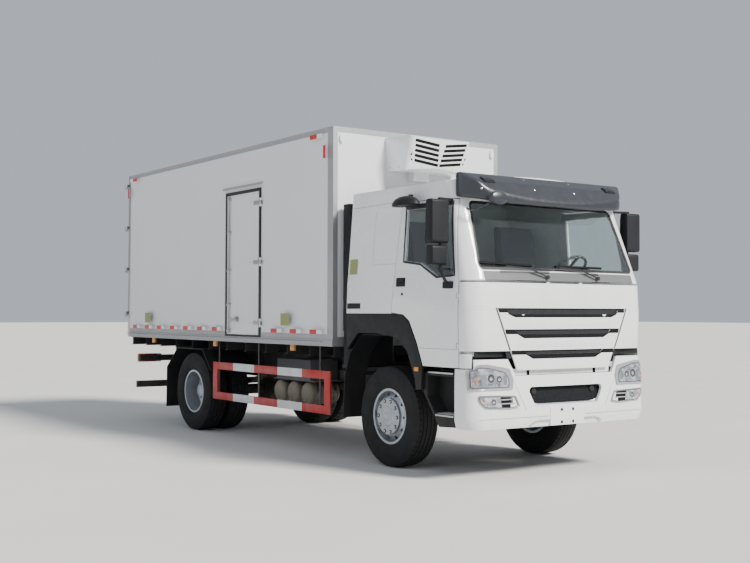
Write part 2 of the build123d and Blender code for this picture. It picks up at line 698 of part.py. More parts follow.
with BuildPart() as box_edge_rails:
    for side in (-1, 1):
        outer = side * BOX_HALF
        with BuildSketch(Plane.XZ.offset(-BOX_FRONT)):
            with BuildLine():
                Polyline(
                    (side * PANEL_X, BOX_BOTTOM), (outer + side * 6, BOX_BOTTOM),
                    (outer + side * 6, RAIL_LOW_TOP), (outer, RAIL_LOW_TOP + 6), (outer, RAIL_TOP),
                    (side * PANEL_X, RAIL_TOP), close=True,
                )
            make_face()
            with Locations((side * (PANEL_X + outer * side) / 2, BOX_TOP - EDGE_W / 2)):
                Rectangle(SKIN_PROUD, EDGE_W)
            with Locations((side * (BOX_HALF - EDGE_W / 2), (PANEL_TOP + BOX_TOP) / 2)):
                Rectangle(EDGE_W, SKIN_PROUD)
        extrude(amount=-(PANEL_REAR - BOX_FRONT))
        with BuildSketch(Plane.XY.offset(BOX_BOTTOM)):
            with Locations((side * (BOX_HALF - SKIN_PROUD / 2), BOX_FRONT + CORNER_W / 2)):
                Rectangle(SKIN_PROUD, CORNER_W)
            with Locations((side * (BOX_HALF - EDGE_W / 2), BOX_FRONT + SKIN_PROUD / 2)):
                Rectangle(EDGE_W, SKIN_PROUD)
        extrude(amount=BOX_TOP - BOX_BOTTOM)
    for low, high in ((BOX_BOTTOM, BOX_BOTTOM + 110), (BOX_TOP - EDGE_W, BOX_TOP)):
        with Locations((0, BOX_FRONT, low)):
            Box(2 * BOX_HALF, SKIN_PROUD, high - low, align=(Align.CENTER, Align.MIN, Align.MIN))
    with Locations((0, BOX_FRONT, BOX_TOP)):
        Box(2 * BOX_HALF, EDGE_W, SKIN_PROUD, align=(Align.CENTER, Align.MIN, Align.MAX))
    # the side door cuts through the upper step of the bottom rail
    with Locations((-BOX_HALF, (SIDE_DOOR_FRONT + SIDE_DOOR_REAR) / 2, RAIL_LOW_TOP - 10)):
        Box(
            40, SIDE_DOOR_REAR - SIDE_DOOR_FRONT + 110, 120,
            align=(Align.CENTER, Align.CENTER, Align.MIN), mode=Mode.SUBTRACT,
        )
    with BuildSketch(Plane.XZ.offset(-SIDE_DOOR_FRONT + 70)):
        with BuildLine():
            Polyline(
                (-PANEL_X, CANOPY_Z), (-PANEL_X - 30, CANOPY_Z - 14), (-PANEL_X - 30, CANOPY_Z - 32),
                (-PANEL_X - 26, CANOPY_Z - 32), (-PANEL_X - 26, CANOPY_Z - 18), (-PANEL_X, CANOPY_Z - 6),
                close=True,
            )
        make_face()
    extrude(amount=-(SIDE_DOOR_REAR - SIDE_DOOR_FRONT + 170))
save(box_edge_rails, "box_edge_rails")


# The side door: an insulated leaf, a rubber frame that seats on the wall, hinges and a lock rod
def leaf_outline(front, rear, low, high):
    with Locations(((front + rear) / 2, (low + high) / 2)):
        Rectangle(rear - front, high - low)


with BuildPart() as side_door:
    with BuildSketch(Plane.YZ.offset(-PANEL_X - LEAF_PROUD)):
        leaf_outline(
            SIDE_DOOR_FRONT + DOOR_GAP, SIDE_DOOR_REAR - DOOR_GAP,
            SIDE_DOOR_BOTTOM + DOOR_GAP, SIDE_DOOR_TOP - DOOR_GAP,
        )
    extrude(amount=50)
    with BuildSketch(Plane.YZ.offset(-PANEL_X - LEAF_PROUD + 50)):
        leaf_outline(
            SIDE_DOOR_FRONT + DOOR_GAP + LEAF_STEP, SIDE_DOOR_REAR - DOOR_GAP - LEAF_STEP,
            SIDE_DOOR_BOTTOM + DOOR_GAP + LEAF_STEP, SIDE_DOOR_TOP - DOOR_GAP - LEAF_STEP,
        )
    extrude(amount=WALL_T - 50)
    # hinge straps across the seal, each with the pin that turns in the wall's lugs
    strap_x = -BOX_HALF - 2 * SEAT_GAP - SEAL_T
    for height in SIDE_HINGE_HEIGHTS:
        with Locations((strap_x, SIDE_HINGE_Y, height)):
            Box(STRAP_T, 190, STRAP_H, align=(Align.MAX, Align.MIN, Align.CENTER))
        with Locations((strap_x, SIDE_DOOR_FRONT + DOOR_GAP, height)):
            Box(-strap_x - PANEL_X - LEAF_PROUD, 127, STRAP_H, align=(Align.MIN, Align.MIN, Align.CENTER))
        with Locations((SIDE_HINGE_X, SIDE_HINGE_Y, height)):
            Cylinder(HINGE_BARREL_R, STRAP_H)
            Cylinder(HINGE_PIN_R, STRAP_H + 2 * SIDE_LUG_H)
    # lock rod with its guides and handle near the rear edge
    rod_y = SIDE_DOOR_REAR - 95
    with Locations((-PANEL_X - LEAF_PROUD - 22, rod_y, SIDE_DOOR_BOTTOM + 20)):
        Cylinder(11, SIDE_DOOR_TOP - SIDE_DOOR_BOTTOM - 40, align=(Align.CENTER, Align.CENTER, Align.MIN))
    for height in (SIDE_DOOR_BOTTOM + 60, 1750, 2200, 2700, SIDE_DOOR_TOP - 60):
        with Locations((-PANEL_X - LEAF_PROUD, rod_y, height)):
            Box(36, 60, 34, align=(Align.MAX, Align.CENTER, Align.CENTER))
    with Locations((-PANEL_X - LEAF_PROUD - 22, rod_y, 1552)):
        Box(14, 240, 30, align=(Align.CENTER, Align.MAX, Align.CENTER))
save(side_door, "side_door")

with BuildPart() as side_door_seal:
    with BuildSketch(Plane.YZ.offset(-BOX_HALF - SEAT_GAP)):
        leaf_outline(
            SIDE_DOOR_FRONT - SEAL_LAP, SIDE_DOOR_REAR + SEAL_LAP,
            SIDE_DOOR_BOTTOM - 16, SIDE_DOOR_TOP + SEAL_LAP,
        )
    extrude(amount=-SEAL_T)
    side_door_middle = (SIDE_DOOR_FRONT + SIDE_DOOR_REAR) / 2
    with Locations((-BOX_HALF, side_door_middle, (SIDE_DOOR_BOTTOM + SIDE_DOOR_TOP) / 2)):
        Box(
            60, SIDE_DOOR_REAR - SIDE_DOOR_FRONT - 2 * DOOR_GAP,
            SIDE_DOOR_TOP - SIDE_DOOR_BOTTOM - 2 * DOOR_GAP, mode=Mode.SUBTRACT,
        )
save(side_door_seal, "side_door_seal")

# Rear doors: two leaves hung outside the frame, with straps, lock rods and handles
ROD_R = 13.0
ROD_OFF = 22.0
ROD_POSITIONS = (330.0, 900.0)
LEAF_MEETING_GAP = 14.0
LEAF_OUTER = BOX_HALF - POST_W - DOOR_GAP


def rear_door(side):
    with BuildPart() as piece:
        low = FLOOR_TOP + DOOR_GAP
        high = BOX_TOP - HEADER_H - DOOR_GAP
        middle = side * (LEAF_MEETING_GAP / 2 + LEAF_OUTER) / 2
        width = LEAF_OUTER - LEAF_MEETING_GAP / 2
        with BuildSketch(Plane.XZ.offset(-BOX_REAR)):
            with Locations((middle, (low + high) / 2)):
                Rectangle(width, high - low)
        extrude(amount=45)
        with BuildSketch(Plane.XZ.offset(-BOX_REAR + 45)):
            with Locations((middle, (low + high) / 2)):
                Rectangle(width - 2 * LEAF_STEP, high - low - 2 * LEAF_STEP)
        extrude(amount=WALL_T - 45)
        for height in REAR_HINGE_HEIGHTS:
            strap_z = height + LUG_H + SEAT_GAP + STRAP_H / 2
            with Locations((side * (LEAF_OUTER - 110), BOX_REAR, strap_z)):
                Box(220, 2 * (5 + STRAP_T), STRAP_H)
            with Locations((side * (LEAF_OUTER + REAR_HINGE_X) / 2, BOX_REAR + 5 + STRAP_T / 2, strap_z)):
                Box(REAR_HINGE_X - LEAF_OUTER + 4, STRAP_T, STRAP_H)
            with Locations((side * REAR_HINGE_X, REAR_HINGE_Y, strap_z)):
                Cylinder(HINGE_BARREL_R, STRAP_H)
            with Locations((side * REAR_HINGE_X, REAR_HINGE_Y, strap_z - STRAP_H / 2 - LUG_H / 2)):
                Cylinder(HINGE_PIN_R, LUG_H + 2)
        for across in ROD_POSITIONS:
            with Locations((side * across, BOX_REAR + ROD_OFF, (BOX_BOTTOM + BOX_TOP) / 2)):
                Cylinder(ROD_R, BOX_TOP - BOX_BOTTOM - 60)
            for height in (1480.0, 1900.0, 2350.0, 2800.0, 3250.0, 3600.0):
                with Locations((side * across, BOX_REAR, height)):
                    Box(66, ROD_OFF + ROD_R, 40, align=(Align.CENTER, Align.MIN, Align.CENTER))
            with Locations((side * (across + 130), BOX_REAR + ROD_OFF, 1620)):
                Box(280, 12, 34)
            with Locations((side * (across + 240), BOX_REAR, 1620)):
                keeper = REAR_OVERHANG - (BOX_REAR - AXLE_2)
                Box(50, keeper, 60, align=(Align.CENTER, Align.MIN, Align.CENTER))
    return piece


for name, side in (("left", 1), ("right", -1)):
    save(rear_door(side), f"rear_door_{name}")


# Cooling unit on the front wall: a moulded cover whose V-shaped face leans back under slanted air slots
UNIT_HALF = 515.0
UNIT_FACE_HALF = 438.0
UNIT_DEPTH = 445.0
UNIT_NOSE = 40.0
UNIT_BOTTOM = 3285.0
UNIT_TOP = 3710.0
UNIT_RAKE = 0.35
UNIT_CORNER_R = 75.0
SLOT_COUNT = 5
SLOT_PITCH = 59.0
SLOT_FIRST = 88.0
SLOT_H = 26.0
SLOT_L = 330.0
SLOT_MIDDLE = 218.0
SLOT_DRIFT = 7.5
SLOT_SLANT = 7.5
SLOT_DEEP = 24.0
# Outline seen from the side: distance ahead of the wall, height above the cover's bottom
UNIT_LINE = (
    (0.0, 0.0), (260.0, 0.0), (350.0, 62.0), (620.0, 62.0), (620.0, UNIT_TOP - UNIT_BOTTOM - 58),
    (486.0, UNIT_TOP - UNIT_BOTTOM - 58), (400.0, UNIT_TOP - UNIT_BOTTOM - 8), (0.0, UNIT_TOP - UNIT_BOTTOM),
)


def unit_face(side):
    """The leaning plane of one half of the face, with its origin at the top of the nose."""
    across = Vector(UNIT_FACE_HALF, side * UNIT_NOSE, 0)
    down = Vector(0, UNIT_RAKE, -1)
    return Plane(
        origin=(0, PANEL_FRONT - UNIT_DEPTH - UNIT_NOSE, UNIT_TOP), x_dir=across, z_dir=down.cross(across),
    )


with BuildPart() as fridge_unit:
    with BuildSketch(Plane.XY.offset(UNIT_TOP)) as unit_plan:
        with BuildLine():
            Polyline(
                (-UNIT_HALF, PANEL_FRONT), (-UNIT_FACE_HALF, PANEL_FRONT - UNIT_DEPTH),
                (0, PANEL_FRONT - UNIT_DEPTH - UNIT_NOSE), (UNIT_FACE_HALF, PANEL_FRONT - UNIT_DEPTH),
                (UNIT_HALF, PANEL_FRONT), close=True,
            )
        make_face()
        fillet(unit_plan.vertices().group_by(Axis.Y)[1], UNIT_CORNER_R)
    extrude(amount=UNIT_TOP - UNIT_BOTTOM, dir=(0, UNIT_RAKE, -1))
    with BuildSketch(Plane.YZ) as unit_side:
        with BuildLine():
            Polyline(*[(PANEL_FRONT - ahead, UNIT_BOTTOM + up) for ahead, up in UNIT_LINE], close=True)
        make_face()
    extrude(amount=UNIT_HALF + 10, both=True, mode=Mode.INTERSECT)
    for side in (-1, 1):
        with BuildSketch(unit_face(side)):
            for index in range(SLOT_COUNT):
                middle = side * (SLOT_MIDDLE - index * SLOT_DRIFT)
                with Locations((middle, -SLOT_FIRST - index * SLOT_PITCH)):
                    Rectangle(SLOT_L, SLOT_H, rotation=side * SLOT_SLANT)
        extrude(amount=-SLOT_DEEP, mode=Mode.SUBTRACT)
    # the pipes leave through a box below the cover
    with Locations((-60, PANEL_FRONT, UNIT_BOTTOM + 30)):
        Box(230, 120, 100, align=(Align.CENTER, Align.MAX, Align.MAX))
save(fridge_unit, "fridge_unit")


# Fuel tank on the left, on two brackets from the rail
TANK_INNER = 505.0
TANK_OUTER = 1120.0
TANK_FRONT = AXLE_1 + 1230.0
TANK_REAR = AXLE_1 + 2480.0
TANK_BOTTOM = 480.0
TANK_TOP = 1060.0

with BuildPart() as fuel_tank:
    with BuildSketch(Plane.XZ.offset(-TANK_FRONT)) as tank_outline:
        with Locations(((TANK_INNER + TANK_OUTER) / 2, (TANK_BOTTOM + TANK_TOP) / 2)):
            RectangleRounded(TANK_OUTER - TANK_INNER, TANK_TOP - TANK_BOTTOM, 95)
    extrude(amount=-(TANK_REAR - TANK_FRONT))
    for place in (TANK_FRONT + 250, TANK_REAR - 250):
        with BuildSketch(Plane.XZ.offset(-place + 30)):
            with BuildLine():
                Polyline(
                    (RAIL_X, FRAME_TOP - 20), (TANK_INNER + 20, FRAME_TOP - 60),
                    (TANK_INNER + 20, TANK_BOTTOM + 120),
                    (TANK_INNER + 120, TANK_BOTTOM + 30), (TANK_OUTER - 160, TANK_BOTTOM + 10),
                    (TANK_OUTER - 160, TANK_BOTTOM - 40), (TANK_INNER, TANK_BOTTOM - 40),
                    (RAIL_X, FRAME_TOP - RAIL_H + 10), close=True,
                )
            make_face()
        extrude(amount=-60)
    with Locations((TANK_OUTER - 150, TANK_REAR - 160, TANK_TOP)):
        Cylinder(55, 60)
save(fuel_tank, "fuel_tank")

# Battery box above three air tanks, hung from one plate on the right rail
AIR_TANK_R = 138.0
AIR_TANK_COUNT = 3
AIR_TANK_PITCH = 335.0
AIR_TANK_Y = AXLE_1 + 2110.0
AIR_TANK_Z = 645.0
AIR_TANK_END = 900.0
AIR_TANK_START = 470.0
GEAR_PLATE_Z = 800.0


def air_tank(tank_y):
    """One tank lying across the truck, with rounded ends."""
    with BuildPart() as tank:
        with Locations((-(AIR_TANK_START + AIR_TANK_END) / 2, tank_y, AIR_TANK_Z)):
            Cylinder(AIR_TANK_R, AIR_TANK_END - AIR_TANK_START, rotation=(0, 90, 0))
        fillet(tank.edges().filter_by(GeomType.CIRCLE), 45)
    return tank.part


with BuildPart() as battery_and_air_tanks:
    plate_y = AIR_TANK_Y + AIR_TANK_PITCH
    with Locations((-(RAIL_X + AIR_TANK_END - 20) / 2, plate_y, GEAR_PLATE_Z)):
        Box(AIR_TANK_END - 20 - RAIL_X, 3 * AIR_TANK_PITCH, 16)
    with Locations((-RAIL_X - 6, plate_y, GEAR_PLATE_Z + 60)):
        Box(12, 3 * AIR_TANK_PITCH, 130)
    with Locations((-(AIR_TANK_START + AIR_TANK_END - 20) / 2, plate_y, GEAR_PLATE_Z)):
        Box(AIR_TANK_END - 20 - AIR_TANK_START, 820, 258, align=(Align.CENTER, Align.CENTER, Align.MIN))
    for index in range(AIR_TANK_COUNT):
        add(air_tank(AIR_TANK_Y + index * AIR_TANK_PITCH))
        for across in (AIR_TANK_START + 80, AIR_TANK_END - 100):
            with Locations((-across, AIR_TANK_Y + index * AIR_TANK_PITCH, AIR_TANK_Z + AIR_TANK_R / 2)):
                Box(40, 90, GEAR_PLATE_Z - AIR_TANK_Z, align=(Align.CENTER, Align.CENTER, Align.MIN))
save(battery_and_air_tanks, "battery_and_air_tanks")

# Side guards: a frame of flat section on each side, hung from the floor by thin rods
GUARD_X = 1222.0
GUARD_T = 25.0
GUARD_FRONT = AXLE_1 + 1062.0
GUARD_REAR = AXLE_1 + 3999.0
GUARD_LOW = 477.0
GUARD_HIGH = 976.0
GUARD_RAIL_H = 98.0
GUARD_POST_W = 125.0
# Distance of each hanger rod behind the front axle
GUARD_HANGERS = (1314.0, 2776.0, 3860.0)

with BuildPart() as side_guards:
    for side in (-1, 1):
        with BuildSketch(Plane.YZ.offset(side * GUARD_X)):
            with Locations(((GUARD_FRONT + GUARD_REAR) / 2, (GUARD_LOW + GUARD_HIGH) / 2)):
                Rectangle(GUARD_REAR - GUARD_FRONT, GUARD_HIGH - GUARD_LOW)
                Rectangle(
                    GUARD_REAR - GUARD_FRONT - 2 * GUARD_POST_W, GUARD_HIGH - GUARD_LOW - 2 * GUARD_RAIL_H,
                    mode=Mode.SUBTRACT,
                )
        extrude(amount=-side * GUARD_T)
        for behind in GUARD_HANGERS:
            with Locations((side * (GUARD_X - GUARD_T - 5), AXLE_1 + behind, GUARD_LOW + 10)):
                Box(10, 32, BOX_BOTTOM - GUARD_LOW - 10, align=(Align.CENTER, Align.CENTER, Align.MIN))
save(side_guards, "side_guards")

# Rear mudguards: a bent plate over each pair of wheels, with its flap
# Outline of the plate: distance from the rear axle, height
MUDGUARD_LINE = ((-560.0, 860.0), (-300.0, 1134.0), (490.0, 1134.0), (842.0, 846.0), (856.0, 276.0))
MUDGUARD_T = 12.0
MUDGUARD_IN = 590.0
MUDGUARD_OUT = 1238.0

with BuildPart() as rear_mudguards:
    for side in (-1, 1):
        with BuildSketch(Plane.YZ.offset(side * MUDGUARD_IN)):
            with BuildLine() as centre_line:
                Polyline(*[(AXLE_2 + y, z) for y, z in MUDGUARD_LINE])
            make_face(offset(centre_line.line, amount=MUDGUARD_T / 2, side=Side.BOTH, mode=Mode.PRIVATE))
        extrude(amount=side * (MUDGUARD_OUT - MUDGUARD_IN))
save(rear_mudguards, "rear_mudguards")

# Rear bars: the under-run bar below the frame and a round lamp bar out from each rail
UNDERRUN_Y = AXLE_1 + 6630.0
UNDERRUN_Z = 530.0
LAMP_BAR_Z = 933.0
LAMP_BAR_R = 48.0
LAMP_BAR_END = 1165.0

with BuildPart() as rear_bars:
    with Locations((0, UNDERRUN_Y, UNDERRUN_Z)):
        Box(2400, 60, 98)
    for side in (-1, 1):
        with Locations((side * (RAIL_X - RAIL_FLANGE / 2), UNDERRUN_Y, UNDERRUN_Z)):
            Box(60, 60, FRAME_TOP - RAIL_H - UNDERRUN_Z, align=(Align.CENTER, Align.CENTER, Align.MIN))
        with Locations((side * (RAIL_X + LAMP_BAR_END) / 2, UNDERRUN_Y, LAMP_BAR_Z)):
            Cylinder(LAMP_BAR_R, LAMP_BAR_END - RAIL_X, rotation=(0, 90, 0))
save(rear_bars, "rear_bars")

with BuildPart() as tail_lamps:
    for side in (-1, 1):
        with Locations((side * 960, UNDERRUN_Y + LAMP_BAR_R, LAMP_BAR_Z)):
            Box(380, 60, 130, align=(Align.CENTER, Align.MIN, Align.CENTER))
    fillet(tail_lamps.edges().filter_by(Axis.Y), 18)
save(tail_lamps, "tail_lamps")

# Marker lamps under the floor's edge and at the top of the front wall
MARKER_PLACES = (1885.0, 3925.0, 5940.0)

with BuildPart() as marker_lamps:
    for side in (-1, 1):
        for behind in MARKER_PLACES:
            with Locations((side * 1222, AXLE_1 + behind, BOX_BOTTOM)):
                Box(26, 90, 72, align=(Align.CENTER, Align.CENTER, Align.MAX))
        with BuildSketch(Plane.XZ.offset(-PANEL_FRONT)):
            with Locations((side * 1135, 3650)):
                Ellipse(28, 50)
        extrude(amount=26)
save(marker_lamps, "marker_lamps")


# Bumper: a bowed shell with openings for the lamps, the step and the plate bracket
BUMPER_REAR = AXLE_1 - 1225.0
BUMPER_T = 30.0
LEDGE_Z = 1030.0
BUMPER_TOP = 1195.0
BUMPER_SIDE_TOP = 1100.0
PLATE_HALF = 236.0
PLATE_LOW = 520.0
PLATE_HIGH = 700.0
PLATE_HOLE_X = 79.0
PLATE_HOLE_Z = (547.0, 673.0)
PLATE_HOLE_R = 6.0
# Outlines seen from the front, right half as (x, z)
HEADLAMP = ((1196.0, 1086.0), (830.0, 1062.0), (792.0, 932.0), (1192.0, 925.0))
FOG_LAMP = ((1060.0, 832.0), (905.0, 832.0), (905.0, 750.0), (1010.0, 752.0))
FOG_SLOT = ((900.0, 832.0), (730.0, 826.0), (722.0, 758.0), (900.0, 750.0))
LOW_OPENING = ((537.0, 914.0), (-537.0, 914.0), (-430.0, 715.0), (430.0, 715.0))


def bumper_skin(outer, inner):
    """A bowed wall between two insets of the bumper's form, open at the back."""
    with BuildPart() as skin:
        add(stacked_form(BUMPER_SECTIONS, BUMPER_REAR, outer))
        add(stacked_form(BUMPER_SECTIONS, BUMPER_REAR + 200, inner), mode=Mode.SUBTRACT)
    return skin.part


def both_halves(outline, grow=0):
    """Prisms along the truck through an outline and its mirror image."""
    with BuildPart() as prisms:
        for side in (-1, 1):
            with BuildSketch(Plane.XZ.offset(-AXLE_1 + 1150)) as face:
                with BuildLine():
                    Polyline(*[(side * x, z) for x, z in outline], close=True)
                make_face()
                fillet(face.vertices(), 22)
                if grow:
                    offset(amount=grow)
            extrude(amount=500)
    return prisms.part


with BuildPart() as bumper:
    add(bumper_skin(0, BUMPER_T))
    add(
        front_prism((
            (-1300, 1300), (-1300, BUMPER_TOP), (-765, BUMPER_TOP), (-680, LEDGE_Z),
            (680, LEDGE_Z), (765, BUMPER_TOP), (1300, BUMPER_TOP), (1300, 1300),
        )),
        mode=Mode.SUBTRACT,
    )
    for hole in (HEADLAMP, FOG_LAMP, FOG_SLOT):
        add(both_halves(hole), mode=Mode.SUBTRACT)
    add(front_prism(LOW_OPENING, 40), mode=Mode.SUBTRACT)
    # each side drops at the corner so that the cab's corner can swing past it
    with Locations((0, AXLE_1 - 1405, BUMPER_SIDE_TOP)):
        Box(3000, 400, 200, align=(Align.CENTER, Align.MIN, Align.MIN), mode=Mode.SUBTRACT)
    for side in (-1, 1):
        with Locations((side * (CORNER_IN - CORNER_PASS + 100), AXLE_1 - 1405, BUMPER_SIDE_TOP)):
            Box(200, 60, 200, align=(Align.CENTER, Align.CENTER, Align.MIN), mode=Mode.SUBTRACT)
    with Locations((0, FRONT_Y, (PLATE_LOW + PLATE_HIGH) / 2)):
        Box(2 * PLATE_HALF, 28, PLATE_HIGH - PLATE_LOW, align=(Align.CENTER, Align.MIN, Align.CENTER))
    with Locations(*[(side * PLATE_HOLE_X, FRONT_Y, z) for side in (-1, 1) for z in PLATE_HOLE_Z]):
        Cylinder(PLATE_HOLE_R, 100, rotation=(90, 0, 0), mode=Mode.SUBTRACT)
    # brackets from the rails' front ends
    for side in (-1, 1):
        with Locations((side * (RAIL_X - 30), RAIL_FRONT, 970)):
            Box(60, RAIL_FRONT - AXLE_1 + 1478, 60, align=(Align.CENTER, Align.MAX, Align.CENTER))
save(bumper, "bumper")

with BuildPart() as lamp_prisms:
    add(both_halves(HEADLAMP, -SEAT_GAP))
    add(both_halves(FOG_LAMP, -SEAT_GAP))

with BuildPart() as front_lamps:
    add(bumper_skin(6, BUMPER_T + 50))
    add(lamp_prisms.part, mode=Mode.INTERSECT)
save(front_lamps, "front_lamps")

# Dark insert behind the lower opening and the fog slots, with a serrated step edge and a tow pin
STEP_TOOTH = 24.0

with BuildPart() as bumper_insert:
    add(bumper_skin(BUMPER_T + SEAT_GAP, BUMPER_T + 14))
    add(front_prism(((620, 928), (-620, 928), (-620, 640), (620, 640))), mode=Mode.INTERSECT)
    for index in range(-16, 17):
        with Locations((index * STEP_TOOTH, AXLE_1 - 1468, 730)):
            Box(STEP_TOOTH / 2, 40, 20)
    with Locations((330, AXLE_1 - 1440, 800)):
        Cylinder(34, 60, rotation=(90, 0, 0))
save(bumper_insert, "bumper_insert")


# Step boxes between the bumper and the front wheels, with two treads
STEP_IN = 930.0
STEP_OUT = 1190.0
# Outline seen from the side: distance from the front axle, height
STEP_LINE = (
    (-650.0, 1050.0), (-1205.0, 1050.0), (-1212.0, 522.0), (-905.0, 506.0), (-650.0, 840.0),
)
STEP_WELL = ((-720.0, 1015.0), (-1150.0, 1015.0), (-1150.0, 640.0), (-850.0, 640.0), (-720.0, 800.0))

with BuildPart() as step_right:
    add(side_prism(STEP_LINE, -STEP_OUT, -STEP_IN))
    add(side_prism(STEP_WELL, -STEP_OUT - 10, -STEP_IN - 90), mode=Mode.SUBTRACT)
    with Locations((-(RAIL_X + STEP_IN) / 2, AXLE_1 - 1010, 850)):
        Box(STEP_IN - RAIL_X, 80, 90)
step_left = mirrored(step_right)

with BuildPart() as step_boxes:
    add(step_right.part)
    add(step_left.part)
save(step_boxes, "step_boxes")

# Front mudguards: the liner over each steered wheel, with stays to the rails
LINER_LINE = (
    (-642.0, 845.0), (-630.0, 960.0), (-440.0, 1290.0), (-220.0, 1408.0), (460.0, 1408.0),
    (700.0, 1200.0), (800.0, 930.0), (836.0, 470.0),
)
LINER_T = 10.0
LINER_IN = 905.0
LINER_OUT = 1190.0

with BuildPart() as front_mudguards:
    for side in (-1, 1):
        with BuildSketch(Plane.YZ.offset(side * LINER_IN)):
            with BuildLine() as liner_line:
                Polyline(*[(AXLE_1 + y, z) for y, z in LINER_LINE])
            make_face(offset(liner_line.line, amount=LINER_T / 2, side=Side.BOTH, mode=Mode.PRIVATE))
        extrude(amount=side * (LINER_OUT - LINER_IN))
        with Locations((side * (RAIL_X + LINER_OUT - 60) / 2, AXLE_1 + 795, 960)):
            Box(LINER_OUT - 60 - RAIL_X, 30, 44)
save(front_mudguards, "front_mudguards")

# Air intake behind the cab: the filter housing on a bracket and the tall duct above it
INTAKE_FRONT = AXLE_1 + 765.0
INTAKE_REAR = AXLE_1 + 925.0

with BuildPart() as air_intake:
    with BuildSketch(Plane.XY.offset(FRAME_TOP)):
        with Locations((-(RAIL_X - RAIL_FLANGE + 1150) / 2, (INTAKE_FRONT + INTAKE_REAR) / 2 + 20)):
            Rectangle(1150 - RAIL_X + RAIL_FLANGE, 100)
    extrude(amount=40)
    with BuildSketch(Plane.XY.offset(FRAME_TOP + 40)):
        with Locations((-830, (INTAKE_FRONT + INTAKE_REAR) / 2)):
            RectangleRounded(640, INTAKE_REAR - INTAKE_FRONT, 60)
    extrude(amount=380)
    with BuildSketch(Plane.XY.offset(FRAME_TOP + 420)):
        with Locations((-1040, (INTAKE_FRONT + INTAKE_REAR) / 2)):
            RectangleRounded(230, INTAKE_REAR - INTAKE_FRONT, 50)
    extrude(amount=2880 - FRAME_TOP - 420)
save(air_intake, "air_intake")


# Cab openings, drawn from the side as (distance from the front axle, height)
DOOR_LINE = (
    (-1262.0, SILL_Z), (-1262.0, 1962.0), (-1248.0, 2020.0), (-1105.0, 2784.0), (-298.0, 2805.0),
    (-256.0, 2750.0), (-165.0, 1652.0), (-371.0, 1632.0), (-478.0, 1565.0), (-600.0, 1343.0),
    (-697.0, SILL_Z),
)
WINDOW_LINE = (
    (-1187.0, 2030.0), (-1066.0, 2722.0), (-345.0, 2725.0), (-352.0, 2191.0), (-640.0, 2156.0),
    (-899.0, 2017.0),
)
FLARE_LINE = (
    (688.0, 1640.0), (-160.0, 1640.0), (-366.0, 1620.0), (-470.0, 1556.0), (-589.0, 1340.0), (-686.0, 1110.0),
    (-664.0, 868.0), (-575.0, 862.0), (-557.0, 971.0), (-428.0, 1251.0), (-240.0, 1390.0), (90.0, 1424.0),
    (470.0, 1424.0), (688.0, 1240.0),
)
# The windscreen, from the front as (x, z)
WINDSCREEN_LINE = ((-1090.0, 2072.0), (1090.0, 2072.0), (1002.0, 2775.0), (-1002.0, 2775.0))
FLAP_LINE = (
    (-1270.0, FLAP_TOP_Z), (1270.0, FLAP_TOP_Z), (1270.0, 1275.0), (728.0, 1275.0), (642.0, 1082.0),
    (-642.0, 1082.0), (-728.0, 1275.0), (-1270.0, 1275.0),
)
FLAP_REAR = AXLE_1 - 1277.0
WAIST_Z = 1968.0
COWL_HALF = 1045.0
CAB_BODY_LOW = CAB_FLOOR_Z - CAB_FLOOR_T
DOOR_HINGE_X = 1228.0
DOOR_HINGE_Y = AXLE_1 - 1256.0
DOOR_HINGE_HEIGHTS = (1330.0, 1820.0)
DOOR_LUG_H = 40.0
DOOR_LUG_R = 13.0
PILLAR_OUT = 1178.0
FIREWALL_Y = AXLE_1 - 1400.0
FIREWALL_LOW = 1225.0
CORNER_TOP = 1247.0


def cab_skin(outer, inner):
    """The wall between two insets of the cab's form."""
    with BuildPart() as skin:
        add(cab_form(outer))
        add(cab_form(inner), mode=Mode.SUBTRACT)
    return skin.part


def grown(points, grow):
    """A prism on both sides of the cab through an outline grown by a clearance."""
    with BuildPart() as prism:
        for side in (-1, 1):
            with BuildSketch(Plane.YZ.offset(side * 1000)) as face:
                with BuildLine():
                    Polyline(*[(AXLE_1 + y, z) for y, z in points], close=True)
                make_face()
                if grow:
                    offset(amount=grow, kind=Kind.INTERSECTION)
            extrude(amount=side * 400)
    return prism.part


with BuildPart() as flare_seat:
    add(cab_skin(-10, 28))
    with Locations((0, AXLE_1 + 688, 1640 + SEAT_GAP)):
        Box(3000, 1400, 600, align=(Align.CENTER, Align.MAX, Align.MAX), mode=Mode.INTERSECT)

# the painted corner on each side between the flap, the door and the bumper
with BuildPart() as corner_blocks:
    add(cab_form(0))
    with Locations((CORNER_IN, FLAP_REAR, BUMPER_SIDE_TOP + 10)):
        Box(
            200, 128, CORNER_TOP - BUMPER_SIDE_TOP - 10,
            align=(Align.MIN, Align.MAX, Align.MIN), mode=Mode.INTERSECT,
        )
    mirror(about=Plane.YZ)

